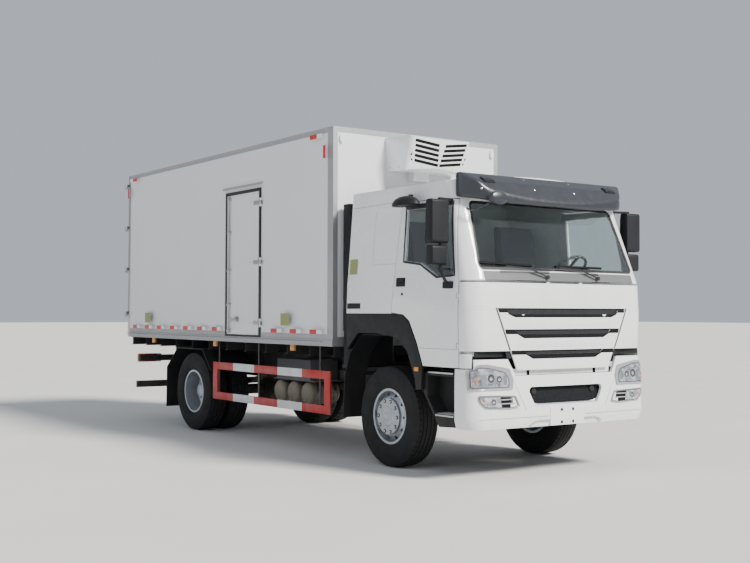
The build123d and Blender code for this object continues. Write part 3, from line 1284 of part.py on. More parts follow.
with BuildPart() as cab_shell:
    add(cab_skin(0, CAB_WALL))
    add(grown(DOOR_LINE, DOOR_GAP), mode=Mode.SUBTRACT)
    add(front_prism(WINDSCREEN_LINE, 60), mode=Mode.SUBTRACT)
    # below the waist the nose is the flap's, and below the floor the wings are the flares'
    with Locations((0, AXLE_1 - 1262 - DOOR_GAP, WAIST_Z)):
        Box(3000, 400, 2000, align=(Align.CENTER, Align.MAX, Align.MAX), mode=Mode.SUBTRACT)
    with Locations((0, AXLE_1, CAB_BODY_LOW)):
        Box(3000, 4000, 1000, align=(Align.CENTER, Align.CENTER, Align.MAX), mode=Mode.SUBTRACT)
    add(flare_seat.part, mode=Mode.SUBTRACT)
    # the cowl's place between the flap and the windscreen
    with Locations((0, AXLE_1 - 1350, WAIST_Z)):
        Box(2 * COWL_HALF, 400, 92, align=(Align.CENTER, Align.MAX, Align.MIN), mode=Mode.SUBTRACT)
    # bulkhead, hinge pillars and toe board inside the nose
    with Locations((0, FIREWALL_Y, FIREWALL_LOW)):
        Box(2200, 20, WAIST_Z - FIREWALL_LOW + 30, align=(Align.CENTER, Align.MIN, Align.MIN))
    for side in (-1, 1):
        with BuildSketch(Plane.XY.offset(FIREWALL_LOW)):
            with BuildLine():
                Polyline(
                    (side * 1060, FIREWALL_Y), (side * 1100, FIREWALL_Y), (side * PILLAR_OUT, AXLE_1 - 1332),
                    (side * PILLAR_OUT, AXLE_1 - 1215), (side * 1128, AXLE_1 - 1215),
                    (side * 1128, AXLE_1 - 1318), (side * 1060, FIREWALL_Y + 20), close=True,
                )
            make_face()
        extrude(amount=2040 - FIREWALL_LOW)
        for height in DOOR_HINGE_HEIGHTS:
            with BuildSketch(Plane.XY.offset(height - DOOR_LUG_H / 2)):
                with Locations((side * (PILLAR_OUT + DOOR_HINGE_X) / 2, DOOR_HINGE_Y)):
                    Rectangle(DOOR_HINGE_X - PILLAR_OUT + 4, 2 * DOOR_LUG_R)
                with Locations((side * DOOR_HINGE_X, DOOR_HINGE_Y)):
                    Circle(DOOR_LUG_R)
                    Circle(HINGE_PIN_R + PIN_GAP, mode=Mode.SUBTRACT)
            extrude(amount=DOOR_LUG_H)
        # bracket and pin that the front flap hangs on
        with BuildSketch(Plane.YZ.offset(side * (FLAP_HINGE_X - 2))):
            with Locations((FLAP_HINGE_Y, FLAP_HINGE_Z)):
                Circle(10)
            with Locations((FLAP_HINGE_Y, FLAP_HINGE_Z)):
                Rectangle(FIREWALL_Y - FLAP_HINGE_Y + 10, 20, align=(Align.MIN, Align.CENTER))
        extrude(amount=-side * 10)
        with Locations((side * (FLAP_HINGE_X + 14), FLAP_HINGE_Y, FLAP_HINGE_Z)):
            Cylinder(FLAP_PIN_R, 34, rotation=(0, 90, 0))
    add(corner_blocks.part)
    with Locations((0, FIREWALL_Y, CAB_BODY_LOW)):
        Box(2140, AXLE_1 - 1215 - FIREWALL_Y, 20, align=(Align.CENTER, Align.MIN, Align.MIN))
save(cab_shell, "cab_shell")

# Cab floor with the two arms that the cab tilts on
ARM_X = RAIL_X + TILT_EAR_T + 1.0
ARM_T = 32.0

with BuildPart() as cab_floor:
    add(cab_form(CAB_WALL + SEAT_GAP))
    with Locations((0, AXLE_1 - 1215 + SEAT_GAP, CAB_BODY_LOW)):
        Box(3000, 2500, CAB_FLOOR_T, align=(Align.CENTER, Align.MIN, Align.MIN), mode=Mode.INTERSECT)
    for side in (-1, 1):
        with BuildSketch(Plane.YZ.offset(side * ARM_X)) as arm:
            with BuildLine():
                Polyline(
                    (TILT_Y - 22, TILT_Z + 22), (AXLE_1 - 1210, CAB_BODY_LOW), (AXLE_1 - 1110, CAB_BODY_LOW),
                    (TILT_Y + 26, TILT_Z - 18), close=True,
                )
            make_face()
            with Locations((TILT_Y, TILT_Z)):
                Circle(32)
                Circle(TILT_PIN_R + PIN_GAP, mode=Mode.SUBTRACT)
        extrude(amount=side * ARM_T)
save(cab_floor, "cab_floor")

with BuildPart() as cab_flares:
    add(cab_skin(-4, 28 - SEAT_GAP))
    add(grown(FLARE_LINE, 0), mode=Mode.INTERSECT)
save(cab_flares, "cab_flares")

with BuildPart() as screen_prism:
    with BuildSketch(Plane.XZ.offset(-AXLE_1 + 1000)) as screen_face:
        with BuildLine():
            Polyline(*WINDSCREEN_LINE, close=True)
        make_face()
        fillet(screen_face.vertices(), 60)
        offset(amount=-SEAT_GAP)
    extrude(amount=700)

with BuildPart() as windscreen:
    add(cab_skin(8, 16))
    add(screen_prism.part, mode=Mode.INTERSECT)
save(windscreen, "windscreen")

# Sun visor: a curved peak over the windscreen that wraps round at both ends
VISOR_HALF = 1165.0
VISOR_BROW_HALF = 960.0
VISOR_END_IN = 125.0
VISOR_BROW_R = 250.0
VISOR_END_R = 50.0
# Outline seen from the side: distance from the front axle, height
VISOR_LINE = (
    (-1020.0, 3062.0), (-1150.0, 3052.0), (-1290.0, 2960.0), (-1448.0, 2745.0), (-1440.0, 2712.0),
    (-1290.0, 2776.0), (-1120.0, 2802.0), (-1020.0, 2814.0),
)

with BuildPart() as visor:
    add(side_prism(VISOR_LINE, -VISOR_HALF, VISOR_HALF))
    with BuildSketch(Plane.XY.offset(2600)) as visor_plan:
        with BuildLine():
            brow = ThreePointArc(
                (-VISOR_BROW_HALF, AXLE_1 - 1350), (0, AXLE_1 - 1420), (VISOR_BROW_HALF, AXLE_1 - 1350)
            )
            Polyline(
                brow @ 1, (VISOR_HALF, AXLE_1 - 1130), (VISOR_HALF - VISOR_END_IN, AXLE_1 - 1000),
                (-VISOR_HALF + VISOR_END_IN, AXLE_1 - 1000), (-VISOR_HALF, AXLE_1 - 1130), brow @ 0,
            )
        make_face()
        fillet(visor_plan.vertices().group_by(Axis.Y)[0], VISOR_BROW_R)
        fillet(visor_plan.vertices().filter_by(lambda v: abs(v.X) > VISOR_HALF - 1), VISOR_END_R)
    extrude(amount=600, mode=Mode.INTERSECT)
    add(cab_form(-SEAT_GAP), mode=Mode.SUBTRACT)
save(visor, "visor")

# Cowl strip with the two wipers
WIPER_PIVOTS = (-250.0, 470.0)
BLADE_L = 620.0

with BuildPart() as wipers:
    add(cab_skin(2, 24))
    with Locations((0, AXLE_1 - 1350 - SEAT_GAP, WAIST_Z + 7)):
        Box(
            2 * (COWL_HALF - SEAT_GAP), 400, 85 - SEAT_GAP,
            align=(Align.CENTER, Align.MAX, Align.MIN), mode=Mode.INTERSECT,
        )
    for pivot in WIPER_PIVOTS:
        with Locations((pivot, AXLE_1 - 1470, 2010)):
            Cylinder(20, 56, rotation=(90, 0, 0))
        with BuildSketch(Plane.XZ.offset(-AXLE_1 + 1484)):
            with BuildLine():
                Polyline(
                    (pivot - 14, 2010), (pivot + 14, 2010), (pivot - 250, 2100), (pivot - 262, 2092),
                    close=True,
                )
            make_face()
            with Locations((pivot - 260, 2094)):
                Rectangle(BLADE_L, 16, rotation=-3)
        extrude(amount=14)
save(wipers, "wipers")

# Seats, bunk and dashboard, seen through the glass
SEAT_X = 640.0

with BuildPart() as seats:
    for side in (-1, 1):
        with BuildSketch(Plane.YZ.offset(side * SEAT_X - 250)) as seat_side:
            with BuildLine():
                Polyline(
                    (AXLE_1 - 560, 1860), (AXLE_1 - 560, 1990), (AXLE_1 - 130, 1970), (AXLE_1 - 20, 2640),
                    (AXLE_1 + 80, 2640), (AXLE_1 + 30, 1860), close=True,
                )
            make_face()
            fillet(seat_side.vertices(), 35)
        extrude(amount=500)
        with Locations((side * SEAT_X, AXLE_1 - 260, CAB_FLOOR_Z)):
            Box(380, 420, 400, align=(Align.CENTER, Align.CENTER, Align.MIN))
    with Locations((0, AXLE_1 + 400, CAB_FLOOR_Z)):
        Box(2200, 440, 560, align=(Align.CENTER, Align.CENTER, Align.MIN))
save(seats, "seats")

DASH_FRONT = FIREWALL_Y + 20 + SEAT_GAP
DASH_HALF = 1050.0
WHEEL_X = 620.0
STEERING_WHEEL_R = 225.0

with BuildPart() as dashboard:
    with BuildSketch(Plane.YZ.offset(-DASH_HALF)) as dash_side:
        with BuildLine():
            Polyline(
                (DASH_FRONT, 1700), (DASH_FRONT, 1990), (AXLE_1 - 1180, 2040), (AXLE_1 - 1000, 2000),
                (AXLE_1 - 960, 1800), (AXLE_1 - 1120, 1660), close=True,
            )
        make_face()
    extrude(amount=2 * DASH_HALF)
    wheel_centre = Plane(origin=(WHEEL_X, AXLE_1 - 880, 2120), z_dir=(0, 0.62, 0.78))
    with Locations(wheel_centre):
        Torus(STEERING_WHEEL_R, 16)
        Cylinder(60, 30)
        Cylinder(30, 320, align=(Align.CENTER, Align.CENTER, Align.MAX))
    with Locations(wheel_centre):
        Box(2 * STEERING_WHEEL_R, 40, 14)
        Box(40, STEERING_WHEEL_R, 14, align=(Align.CENTER, Align.MAX, Align.CENTER))
save(dashboard, "dashboard")

# Cab doors with their glass; each pin stands in a notch that the pillar's lug enters
with BuildPart() as door_pair:
    add(cab_skin(0, CAB_WALL))
    add(grown(DOOR_LINE, 0), mode=Mode.INTERSECT)
    add(grown(WINDOW_LINE, 0), mode=Mode.SUBTRACT)
    for side in (-1, 1):
        for height in DOOR_HINGE_HEIGHTS:
            with Locations((side * DOOR_HINGE_X, AXLE_1 - 1262, height)):
                Box(
                    120, 32, DOOR_LUG_H + 12,
                    align=(Align.CENTER, Align.MIN, Align.CENTER), mode=Mode.SUBTRACT,
                )
            with Locations((side * DOOR_HINGE_X, DOOR_HINGE_Y, height)):
                Cylinder(HINGE_PIN_R, DOOR_LUG_H + 40)

with BuildPart() as glass_pair:
    add(cab_skin(18, 24))
    add(grown(WINDOW_LINE, -SEAT_GAP), mode=Mode.INTERSECT)

MIRROR_IN = 1275.0
MIRROR_OUT = 1475.0
# Mirror housing seen from the side: distance from the front axle, height
MIRROR_LINE = ((-1165.0, 2335.0), (-1165.0, 2765.0), (-1060.0, 2765.0), (-1040.0, 2335.0))

with BuildPart() as mirror_pair:
    for side in (-1, 1):
        with BuildSketch(Plane.YZ.offset(side * MIRROR_IN)) as mirror_side:
            with BuildLine():
                Polyline(*[(AXLE_1 + y, z) for y, z in MIRROR_LINE], close=True)
            make_face()
            fillet(mirror_side.vertices(), 30)
        extrude(amount=side * (MIRROR_OUT - MIRROR_IN))
        with BuildSketch(Plane.YZ.offset(side * (MIRROR_IN + 20))) as wide_mirror:
            with Locations((AXLE_1 - 1105, 2215)):
                RectangleRounded(105, 190, 28)
        extrude(amount=side * (MIRROR_OUT - MIRROR_IN - 30))
        with Locations((side * (MIRROR_IN + 60), AXLE_1 - 1105, 2070)):
            Cylinder(14, 715, align=(Align.CENTER, Align.CENTER, Align.MIN))
        # arms to the door: the upper one reaches back round the corner of the roof
        for height, inner, back in ((2080.0, 1190.0, -1105.0), (2774.0, 1100.0, -1040.0)):
            with BuildSketch(Plane.XY.offset(height - 12)):
                with BuildLine():
                    Polyline(
                        (side * (MIRROR_IN + 74), AXLE_1 - 1125), (side * (MIRROR_IN + 74), AXLE_1 - 1085),
                        (side * inner, AXLE_1 + back + 20), (side * inner, AXLE_1 + back - 20), close=True,
                    )
                make_face()
            extrude(amount=24)
    add(cab_form(-SEAT_GAP), mode=Mode.SUBTRACT)

for name, side in (("left", 1), ("right", -1)):
    for pair, kind in ((door_pair, "door"), (glass_pair, "glass"), (mirror_pair, "mirror")):
        with BuildPart() as piece:
            add(pair.part)
            split(bisect_by=Plane.YZ, keep=Keep.TOP if side > 0 else Keep.BOTTOM)
        save(piece, f"{kind}_{name}")

# Front flap with its three air slots, and the dark grille behind them
# Columns of the slots: top, half width at the top, half width of the deep part, narrow height, full height
FLAP_SLOTS = (
    (1702.0, 905.0, 762.0, 26.0, 66.0),
    (1500.0, 816.0, 645.0, 24.0, 62.0),
    (1298.0, 735.0, 528.0, 24.0, 60.0),
)

with BuildPart() as front_flap:
    add(cab_skin(0, FLAP_T))
    add(front_prism(FLAP_LINE), mode=Mode.INTERSECT)
    with Locations((0, FLAP_REAR, 1500)):
        Box(3000, 3000, 1500, align=(Align.CENTER, Align.MAX, Align.CENTER), mode=Mode.INTERSECT)
    for top, wide, deep, narrow, full in FLAP_SLOTS:
        add(
            front_prism((
                (-wide, top), (wide, top), (wide - 12, top - narrow), (deep + 30, top - narrow),
                (deep, top - full), (-deep, top - full), (-deep - 30, top - narrow),
                (-wide + 12, top - narrow),
            )),
            mode=Mode.SUBTRACT,
        )
    # hinge ears near the top edge, each beside a pocket that clears the cab's bracket
    for side in (-1, 1):
        with Locations((side * (FLAP_HINGE_X - 7), FLAP_HINGE_Y - 13, FLAP_TOP_Z - 18)):
            Box(20, 40, 60, align=(Align.CENTER, Align.MIN, Align.MIN), mode=Mode.SUBTRACT)
        with BuildSketch(Plane.YZ.offset(side * (FLAP_HINGE_X + 3))):
            with Locations((FLAP_HINGE_Y, FLAP_HINGE_Z)):
                Circle(12)
            with Locations((FLAP_HINGE_Y - 11, FLAP_HINGE_Z - 14)):
                Rectangle(22, 20)
            with Locations((FLAP_HINGE_Y, FLAP_HINGE_Z)):
                Circle(FLAP_PIN_R + PIN_GAP, mode=Mode.SUBTRACT)
        extrude(amount=side * 26)
save(front_flap, "front_flap")

with BuildPart() as flap_grille:
    add(cab_skin(FLAP_T + 2 * SEAT_GAP, FLAP_T + 10))
    add(front_prism(((-960, 1760), (960, 1760), (760, 1200), (-760, 1200))), mode=Mode.INTERSECT)
save(flap_grille, "flap_grille")
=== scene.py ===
import json
import math

import bmesh
import bpy
from mathutils import Matrix, Vector
from mathutils.bvhtree import BVHTree


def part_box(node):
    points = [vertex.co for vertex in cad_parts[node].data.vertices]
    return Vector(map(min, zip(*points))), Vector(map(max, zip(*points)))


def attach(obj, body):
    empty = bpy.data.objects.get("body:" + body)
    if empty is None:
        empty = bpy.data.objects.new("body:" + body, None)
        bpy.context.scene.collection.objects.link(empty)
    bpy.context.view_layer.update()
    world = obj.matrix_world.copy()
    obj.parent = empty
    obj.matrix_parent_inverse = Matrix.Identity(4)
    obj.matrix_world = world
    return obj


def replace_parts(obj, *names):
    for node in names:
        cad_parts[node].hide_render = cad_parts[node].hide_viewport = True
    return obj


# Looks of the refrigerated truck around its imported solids, in metres.
# The truck faces -Y, +X is its left side, and the ground is at Z = 0.
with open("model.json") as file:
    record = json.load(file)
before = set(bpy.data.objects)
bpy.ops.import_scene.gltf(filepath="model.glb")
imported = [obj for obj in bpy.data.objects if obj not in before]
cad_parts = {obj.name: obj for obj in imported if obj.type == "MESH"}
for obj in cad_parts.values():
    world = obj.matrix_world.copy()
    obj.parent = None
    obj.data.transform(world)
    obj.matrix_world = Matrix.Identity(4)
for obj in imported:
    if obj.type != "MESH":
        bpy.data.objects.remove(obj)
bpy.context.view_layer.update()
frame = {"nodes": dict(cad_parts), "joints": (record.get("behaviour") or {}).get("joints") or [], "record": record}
nodes = frame["nodes"]
joints = {joint["name"]: joint["pos_m"] for joint in frame["joints"]}

# Places taken from the frame
AXLE_1 = joints["wheel_front_left_spin"][1]
AXLE_2 = joints["wheels_rear_left_spin"][1]
AXLE_Z = joints["wheel_front_left_spin"][2]
STEER_X = joints["wheel_front_left_spin"][0]
DUAL_X = joints["wheels_rear_left_spin"][0]
BOX_LOW, BOX_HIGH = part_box("box_floor")[0].z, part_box("box_roof")[1].z
BOX_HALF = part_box("box_rear_frame")[1].x
PANEL_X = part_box("box_left_wall")[1].x
PANEL_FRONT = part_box("box_front_wall")[0].y
BOX_REAR = AXLE_2 + 2.312
LEAF_X = PANEL_X + 0.010
LEFT, UP, AHEAD, BACK = Vector((1, 0, 0)), Vector((0, 0, 1)), Vector((0, -1, 0)), Vector((0, 1, 0))
SIDES = (("left", 1), ("right", -1))
# A y at the nose, and an x that lies outside either flank
NOSE, OUTSIDE = AXLE_1 - 1.49, 1.5

# The photograph's viewpoint
CAMERA_AT = Vector((-8.14744, -12.42579, 1.65494))
CAMERA_YAW, CAMERA_PITCH, CAMERA_ROLL = -0.611695, 0.0273728, 0.0027048
CAMERA_LENS = 53.55


def place_camera():
    """The camera that a fit to the photograph's corners gave."""
    right = Vector((math.cos(CAMERA_YAW), math.sin(CAMERA_YAW), 0))
    level = Vector((-math.sin(CAMERA_YAW), math.cos(CAMERA_YAW), 0))
    ahead = level * math.cos(CAMERA_PITCH) + UP * math.sin(CAMERA_PITCH)
    up = right.cross(ahead)
    across = right * math.cos(CAMERA_ROLL) + up * math.sin(CAMERA_ROLL)
    up = up * math.cos(CAMERA_ROLL) - right * math.sin(CAMERA_ROLL)
    camera = bpy.data.objects.new("camera", bpy.data.cameras.new("camera"))
    bpy.context.scene.collection.objects.link(camera)
    turn = Matrix((across, up, -ahead)).transposed().to_4x4()
    camera.matrix_world = Matrix.Translation(CAMERA_AT) @ turn
    camera.data.lens = CAMERA_LENS
    camera.data.clip_end = 500
    bpy.context.scene.camera = camera


place_camera()


# Materials: each is one shader whose colour, roughness and relief come from its nodes
LOOKS = {}
DUST = (0.30, 0.26, 0.21)
BLACK = (0.012, 0.013, 0.015)


class Looks:
    """Builds one material's nodes; spaces in an input's name are written as underscores."""

    def __init__(self, name):
        self.material = LOOKS[name] = bpy.data.materials.new(name)
        self.material.use_nodes = True
        self.tree = self.material.node_tree
        self.shader = self.tree.nodes["Principled BSDF"]

    def feed(self, socket, value):
        if isinstance(value, bpy.types.NodeSocket):
            self.tree.links.new(value, socket)
        else:
            socket.default_value = value

    def fill(self, node, inputs):
        for name, value in inputs.items():
            self.feed(node.inputs[name.replace("_", " ")], value)
        return node

    def node(self, kind, **inputs):
        return self.fill(self.tree.nodes.new("ShaderNode" + kind), inputs)

    def shade(self, **inputs):
        self.fill(self.shader, inputs)

    def noise(self, scale, stretch=(1, 1, 1), detail=4.0):
        where = self.node("Mapping", Vector=self.place(), Scale=stretch).outputs["Vector"]
        return self.node("TexNoise", Vector=where, Scale=scale, Detail=detail).outputs["Fac"]

    def place(self):
        return self.node("TexCoord").outputs["Object"]

    def axis(self, letter):
        return self.node("SeparateXYZ", Vector=self.place()).outputs[letter]

    def maths(self, operation, a, b=0.0):
        made = self.tree.nodes.new("ShaderNodeMath")
        made.operation = operation
        for socket, value in zip(made.inputs, (a, b)):
            self.feed(socket, value)
        return made.outputs[0]

    def spread(self, value, low, high, to_low, to_high):
        made = self.node(
            "MapRange", Value=value, From_Min=low, From_Max=high, To_Min=to_low, To_Max=to_high
        )
        return made.outputs["Result"]

    def mix(self, share, a, b):
        made = self.tree.nodes.new("ShaderNodeMix")
        made.data_type = "RGBA"
        self.feed(made.inputs[0], share)
        for socket, value in ((made.inputs[6], a), (made.inputs[7], b)):
            self.feed(socket, (*value, 1) if isinstance(value, tuple) else value)
        return made.outputs[2]

    def relief(self, height, strength, distance):
        made = self.node("Bump", Height=height, Strength=strength, Distance=distance)
        self.shade(Normal=made.outputs["Normal"])


def look(
    name, color, rough, metal=0.0, vary=0.08, blotch=2.5, grain=(300, 0.1, 0.0006), stretch=(1, 1, 1),
    dust=0.0, dust_top=1.3, parts=None, second=None, holes=(), **fixed,
):
    """A painted, moulded or metal surface: blotched colour, uneven gloss, fine relief and road dust.

    parts gives (axis, limit, beyond) where a second finish begins, and second its colour, metal and
    roughness. holes lists round spots of painted shade, black where holes are seen from the front, as (x, z,
    radius).
    """
    made = Looks(name)
    base, dark, gloss, metallic = color, tuple(0.5 * c for c in color), rough, metal
    if parts:
        axis, limit, beyond = parts
        other, other_metal, other_rough = second
        mask = made.maths("GREATER_THAN" if beyond > 0 else "LESS_THAN", made.axis(axis), limit)
        base = made.mix(mask, color, other)
        dark = made.mix(0.5, base, (0.0, 0.0, 0.0))
        gloss = made.spread(mask, 0.0, 1.0, rough, other_rough)
        metallic = made.spread(mask, 0.0, 1.0, metal, other_metal)
    blotches = made.spread(made.noise(blotch, stretch), 0.35, 0.75, 0.0, 2 * vary)
    tone = made.mix(blotches, base, dark)
    if dust:
        height = made.spread(made.axis("Z"), 0.15, dust_top, dust, 0.0)
        streaks = made.spread(made.noise(7.0, (1, 1, 0.35)), 0.35, 0.65, 0.25, 1.0)
        tone = made.mix(made.maths("MULTIPLY", height, streaks), tone, DUST)
    # each hole's spot is painted black as the shade inside it
    for x, z, radius in holes:
        across = made.maths("SUBTRACT", made.axis("X"), x)
        above = made.maths("SUBTRACT", made.axis("Z"), z)
        apart = made.maths("ADD", *[made.maths("MULTIPLY", off, off) for off in (across, above)])
        tone = made.mix(made.maths("LESS_THAN", apart, radius * radius), tone, BLACK)
    uneven = made.spread(made.noise(14.0, stretch), 0.3, 0.7, -0.05, 0.07)
    made.shade(Base_Color=tone, Roughness=made.maths("ADD", gloss, uneven), Metallic=metallic, **fixed)
    scale, strength, distance = grain
    made.relief(made.noise(scale, stretch, 2.0), strength, distance)


def clear_look(name, color, rough=0.02, flutes=0.0, solid=1.0, film=0.10):
    """Glass or a lamp lens: tinted, with a faint film of dirt, and upright flutes on a lens."""
    made = Looks(name)
    film = made.spread(made.noise(5.0), 0.35, 0.75, 0.0, film)
    made.shade(
        Base_Color=made.mix(film, color, (0.62, 0.60, 0.56)), Transmission_Weight=solid, IOR=1.45,
        Roughness=made.spread(made.noise(9.0), 0.3, 0.8, rough, rough + 0.05),
    )
    if flutes:
        ribs = made.maths("SINE", made.maths("MULTIPLY", made.axis("X"), 2 * math.pi / flutes))
        made.relief(ribs, 0.25, 0.001)
    else:
        made.relief(made.noise(3.0), 0.02, 0.002)


def banded_look(name, bands, rough, axis="Y", dust=0.12, dark_behind=0.0):
    """Paint in bands along one axis, from each band's end and colour, and dark closer in than a given x."""
    made = Looks(name)
    where = made.axis(axis)
    where = made.maths("ABSOLUTE", where) if axis == "X" else where
    tone = bands[0][1]
    for (end, _), (_, color) in zip(bands, bands[1:]):
        tone = made.mix(made.maths("GREATER_THAN", where, end), tone, color)
    if dark_behind:
        inner = made.maths("LESS_THAN", made.maths("ABSOLUTE", made.axis("X")), dark_behind)
        tone = made.mix(inner, tone, BLACK)
    grime = made.spread(made.noise(6.0, (1, 1, 0.5)), 0.4, 0.75, 0.0, 2.5 * dust)
    made.shade(
        Base_Color=made.mix(grime, tone, DUST),
        Roughness=made.spread(made.noise(20.0), 0.3, 0.7, rough - 0.06, rough + 0.1),
    )
    made.relief(made.noise(260.0, detail=2.0), 0.1, 0.0006)


def woven_look(name, color, pitch, dark=0.35, shine=0.5):
    """Cloth or wire mesh: two crossed sets of threads."""
    made = Looks(name)
    waves = [
        made.maths("SINE", made.maths("MULTIPLY", made.axis(letter), math.pi / pitch)) for letter in "XZ"
    ]
    weave = made.maths("MULTIPLY", *[made.maths("ABSOLUTE", wave) for wave in waves])
    shade = made.spread(weave, 0.0, 1.0, 0.0, 1.0 - dark)
    made.shade(
        Base_Color=made.mix(shade, color, tuple(dark * c for c in color)), Specular_IOR_Level=shine,
        Roughness=made.spread(made.noise(30.0), 0.3, 0.7, 0.6, 0.85),
    )
    made.relief(weave, 0.5, 0.001)


def painted_reflection_look(name, bright, dark, scale):
    """A lamp's facetted mirror: bright metal with dark patches of painted reflection, and a glossy cover."""
    made = Looks(name)
    patches = made.spread(made.noise(scale, (1, 0.3, 1), 1.0), 0.34, 0.58, 0.0, 1.0)
    made.shade(
        Base_Color=made.mix(patches, dark, bright), Metallic=0.35, Coat_Weight=1.0, Coat_Roughness=0.02,
        Roughness=made.spread(made.noise(60.0), 0.3, 0.7, 0.12, 0.28),
    )
    made.relief(made.noise(2 * scale, (1, 0.3, 1), 1.0), 0.35, 0.002)


# Second finishes: colour, metal, roughness
STEEL = ((0.44, 0.44, 0.42), 1.0, 0.34)
BLACK_TRIM = (BLACK, 0.0, 0.45)
BATTERY_BOX = ((0.10, 0.10, 0.105), 0.0, 0.5)
WHITE_LENS = ((0.78, 0.80, 0.82), 0.0, 0.12)
WHITE = (0.80, 0.81, 0.82)
PANEL = (0.72, 0.73, 0.76)
RED = (0.42, 0.012, 0.012)
SILVER_TAPE = (0.66, 0.68, 0.70)
# Ends of the side guards' red and white bands, behind the front axle
GUARD_BANDS = (1.677, 2.256, 2.852, 3.417, 9.0)
GUARD_BACK = 1.199
WIPER_Y = AXLE_1 - 1.4835
# The number plate bracket's four holes, from the front: x, z, and the radius of each spot of painted shade
PLATE_HOLES = [(x, z, 0.017) for x in (-0.079, 0.079) for z in (0.547, 0.673)]
PANEL_GRAIN = {"vary": 0.04, "blotch": 0.8, "grain": (2.2, 0.25, 0.006)}
RAIL_GRAIN = {
    "vary": 0.12, "stretch": (1, 0.12, 1), "grain": (420, 0.15, 0.0005), "dust": 0.10, "dust_top": 1.8,
}

for name, holes in (("cab_paint", ()), ("bumper_paint", PLATE_HOLES)):
    look(name, WHITE, 0.24, vary=0.03, grain=(700, 0.03, 0.0004), dust=0.14, dust_top=1.0, holes=holes,
         Coat_Weight=0.7, Coat_Roughness=0.06)
look("box_panel", PANEL, 0.36, dust=0.10, dust_top=1.9, Coat_Weight=0.25, **PANEL_GRAIN)
# steel fittings stand out from these three panels
for name, where in (
    ("panel_steel", ("X", -BOX_HALF - 0.0004, -1)), ("side_door", ("X", -LEAF_X - 0.0004, -1)),
    ("rear_door", ("Y", BOX_REAR + 0.0004, 1)),
):
    look(name, PANEL, 0.36, parts=where, second=STEEL, **PANEL_GRAIN)
look("inner_white", WHITE, 0.30, vary=0.04, grain=(300, 0.05, 0.0005))
look("aluminium", (0.60, 0.61, 0.61), 0.42, metal=0.8, **RAIL_GRAIN)
look("rail_metal", (0.40, 0.41, 0.42), 0.48, metal=0.6, **RAIL_GRAIN)
look("steel", STEEL[0], STEEL[2], metal=STEEL[1], vary=0.12, stretch=(1, 1, 0.15), grain=(520, 0.2, 0.0004))
look("chrome", (0.86, 0.87, 0.88), 0.10, metal=1.0, vary=0.03, grain=(90, 0.02, 0.0004))
look("mirror_glass", (0.75, 0.79, 0.82), 0.05, metal=1.0, vary=0.02, grain=(4, 0.01, 0.001))
look("frame_paint", (0.016, 0.016, 0.018), 0.50, vary=0.25, dust=0.22, dust_top=1.5, Specular_IOR_Level=0.3)
look("axle_iron", (0.030, 0.028, 0.027), 0.72, vary=0.30, grain=(160, 0.5, 0.001), dust=0.40)
look("tyre", (0.017, 0.017, 0.018), 0.78, vary=0.30, blotch=6.0, grain=(420, 0.3, 0.0006),
     Specular_IOR_Level=0.3)
look("wheel_paint", (0.42, 0.45, 0.49), 0.38, metal=0.7, vary=0.15, blotch=8.0, grain=(350, 0.12, 0.0004))
look("tank_paint", (0.24, 0.21, 0.16), 0.48, vary=0.2, dust=0.30, dust_top=0.9, parts=("Z", 0.791, 1),
     second=BATTERY_BOX)
look("black_plastic", BLACK, 0.52, vary=0.2, grain=(520, 0.25, 0.0006), dust=0.09, Specular_IOR_Level=0.25)
look("grey_plastic", (0.13, 0.135, 0.14), 0.55, vary=0.12, grain=(480, 0.25, 0.0006),
     parts=("Y", WIPER_Y, -1), second=BLACK_TRIM)
look("visor_plastic", (0.020, 0.023, 0.030), 0.34, vary=0.1, grain=(60, 0.04, 0.001), Coat_Weight=0.25,
     Coat_Roughness=0.2)
look("seal_rubber", (0.010, 0.010, 0.011), 0.60, vary=0.2)
look("marker_lamps", (0.60, 0.24, 0.05), 0.16, parts=("Z", 3.0, 1), second=WHITE_LENS)
look("bulb", (0.80, 0.38, 0.20), 0.15, vary=0.05, Coat_Weight=0.8)
# mid grey on the white rims round the lamps: painted shade of their sloping recess
look("bezel", (0.30, 0.30, 0.31), 0.35, vary=0.06, Coat_Weight=0.5, Coat_Roughness=0.08)
look("dark_bowl", (0.050, 0.055, 0.080), 0.06, vary=0.1, Coat_Weight=1.0)
look("deep_black", (0.006, 0.006, 0.007), 0.7, vary=0.1, Specular_IOR_Level=0.15)
# near-black lines: painted shade in grooves and in the gaps round the lamps, and seams
look("seam", (0.07, 0.07, 0.075), 0.60, vary=0.1)
# mid grey lines: seams, the fog lamps' grey bars, and painted shade along creases and under the roof rail
look("soft_seam", (0.38, 0.385, 0.40), 0.45, vary=0.05)
look("sticker", (0.27, 0.30, 0.11), 0.5, vary=0.1)
for name, color, vary in (("red_tape", (0.55, 0.02, 0.015), 0.15), ("white_tape", WHITE, 0.1)):
    look(name, color, 0.30, vary=vary, blotch=40.0, grain=(600, 0.3, 0.0004))
banded_look(
    "guard_paint", [(AXLE_1 + end, (RED, SILVER_TAPE)[index % 2]) for index, end in enumerate(GUARD_BANDS)],
    0.42, dark_behind=GUARD_BACK,
)
banded_look(
    "lamp_red", [(0.855, (0.75, 0.76, 0.76)), (1.045, (0.42, 0.010, 0.012)), (9.0, (0.62, 0.20, 0.02))],
    0.16, axis="X",
)
clear_look("glass", (0.84, 0.92, 0.91))
clear_look("lamp_clear", (0.98, 0.99, 1.0), rough=0.0, film=0.0)
clear_look("lamp_amber", (0.95, 0.36, 0.04), rough=0.08, flutes=0.008, solid=0.35)
woven_look("seat_cloth", (0.10, 0.11, 0.14), 0.006)
woven_look("mesh", (0.026, 0.028, 0.032), 0.009, dark=0.10, shine=0.25)
woven_look("deep_mesh", (0.012, 0.013, 0.016), 0.022, dark=0.15, shine=0.15)
# the lamps' mirrors: dark patches painted as reflections over bright metal
painted_reflection_look("reflector", (0.84, 0.84, 0.86), (0.24, 0.25, 0.29), 15.0)
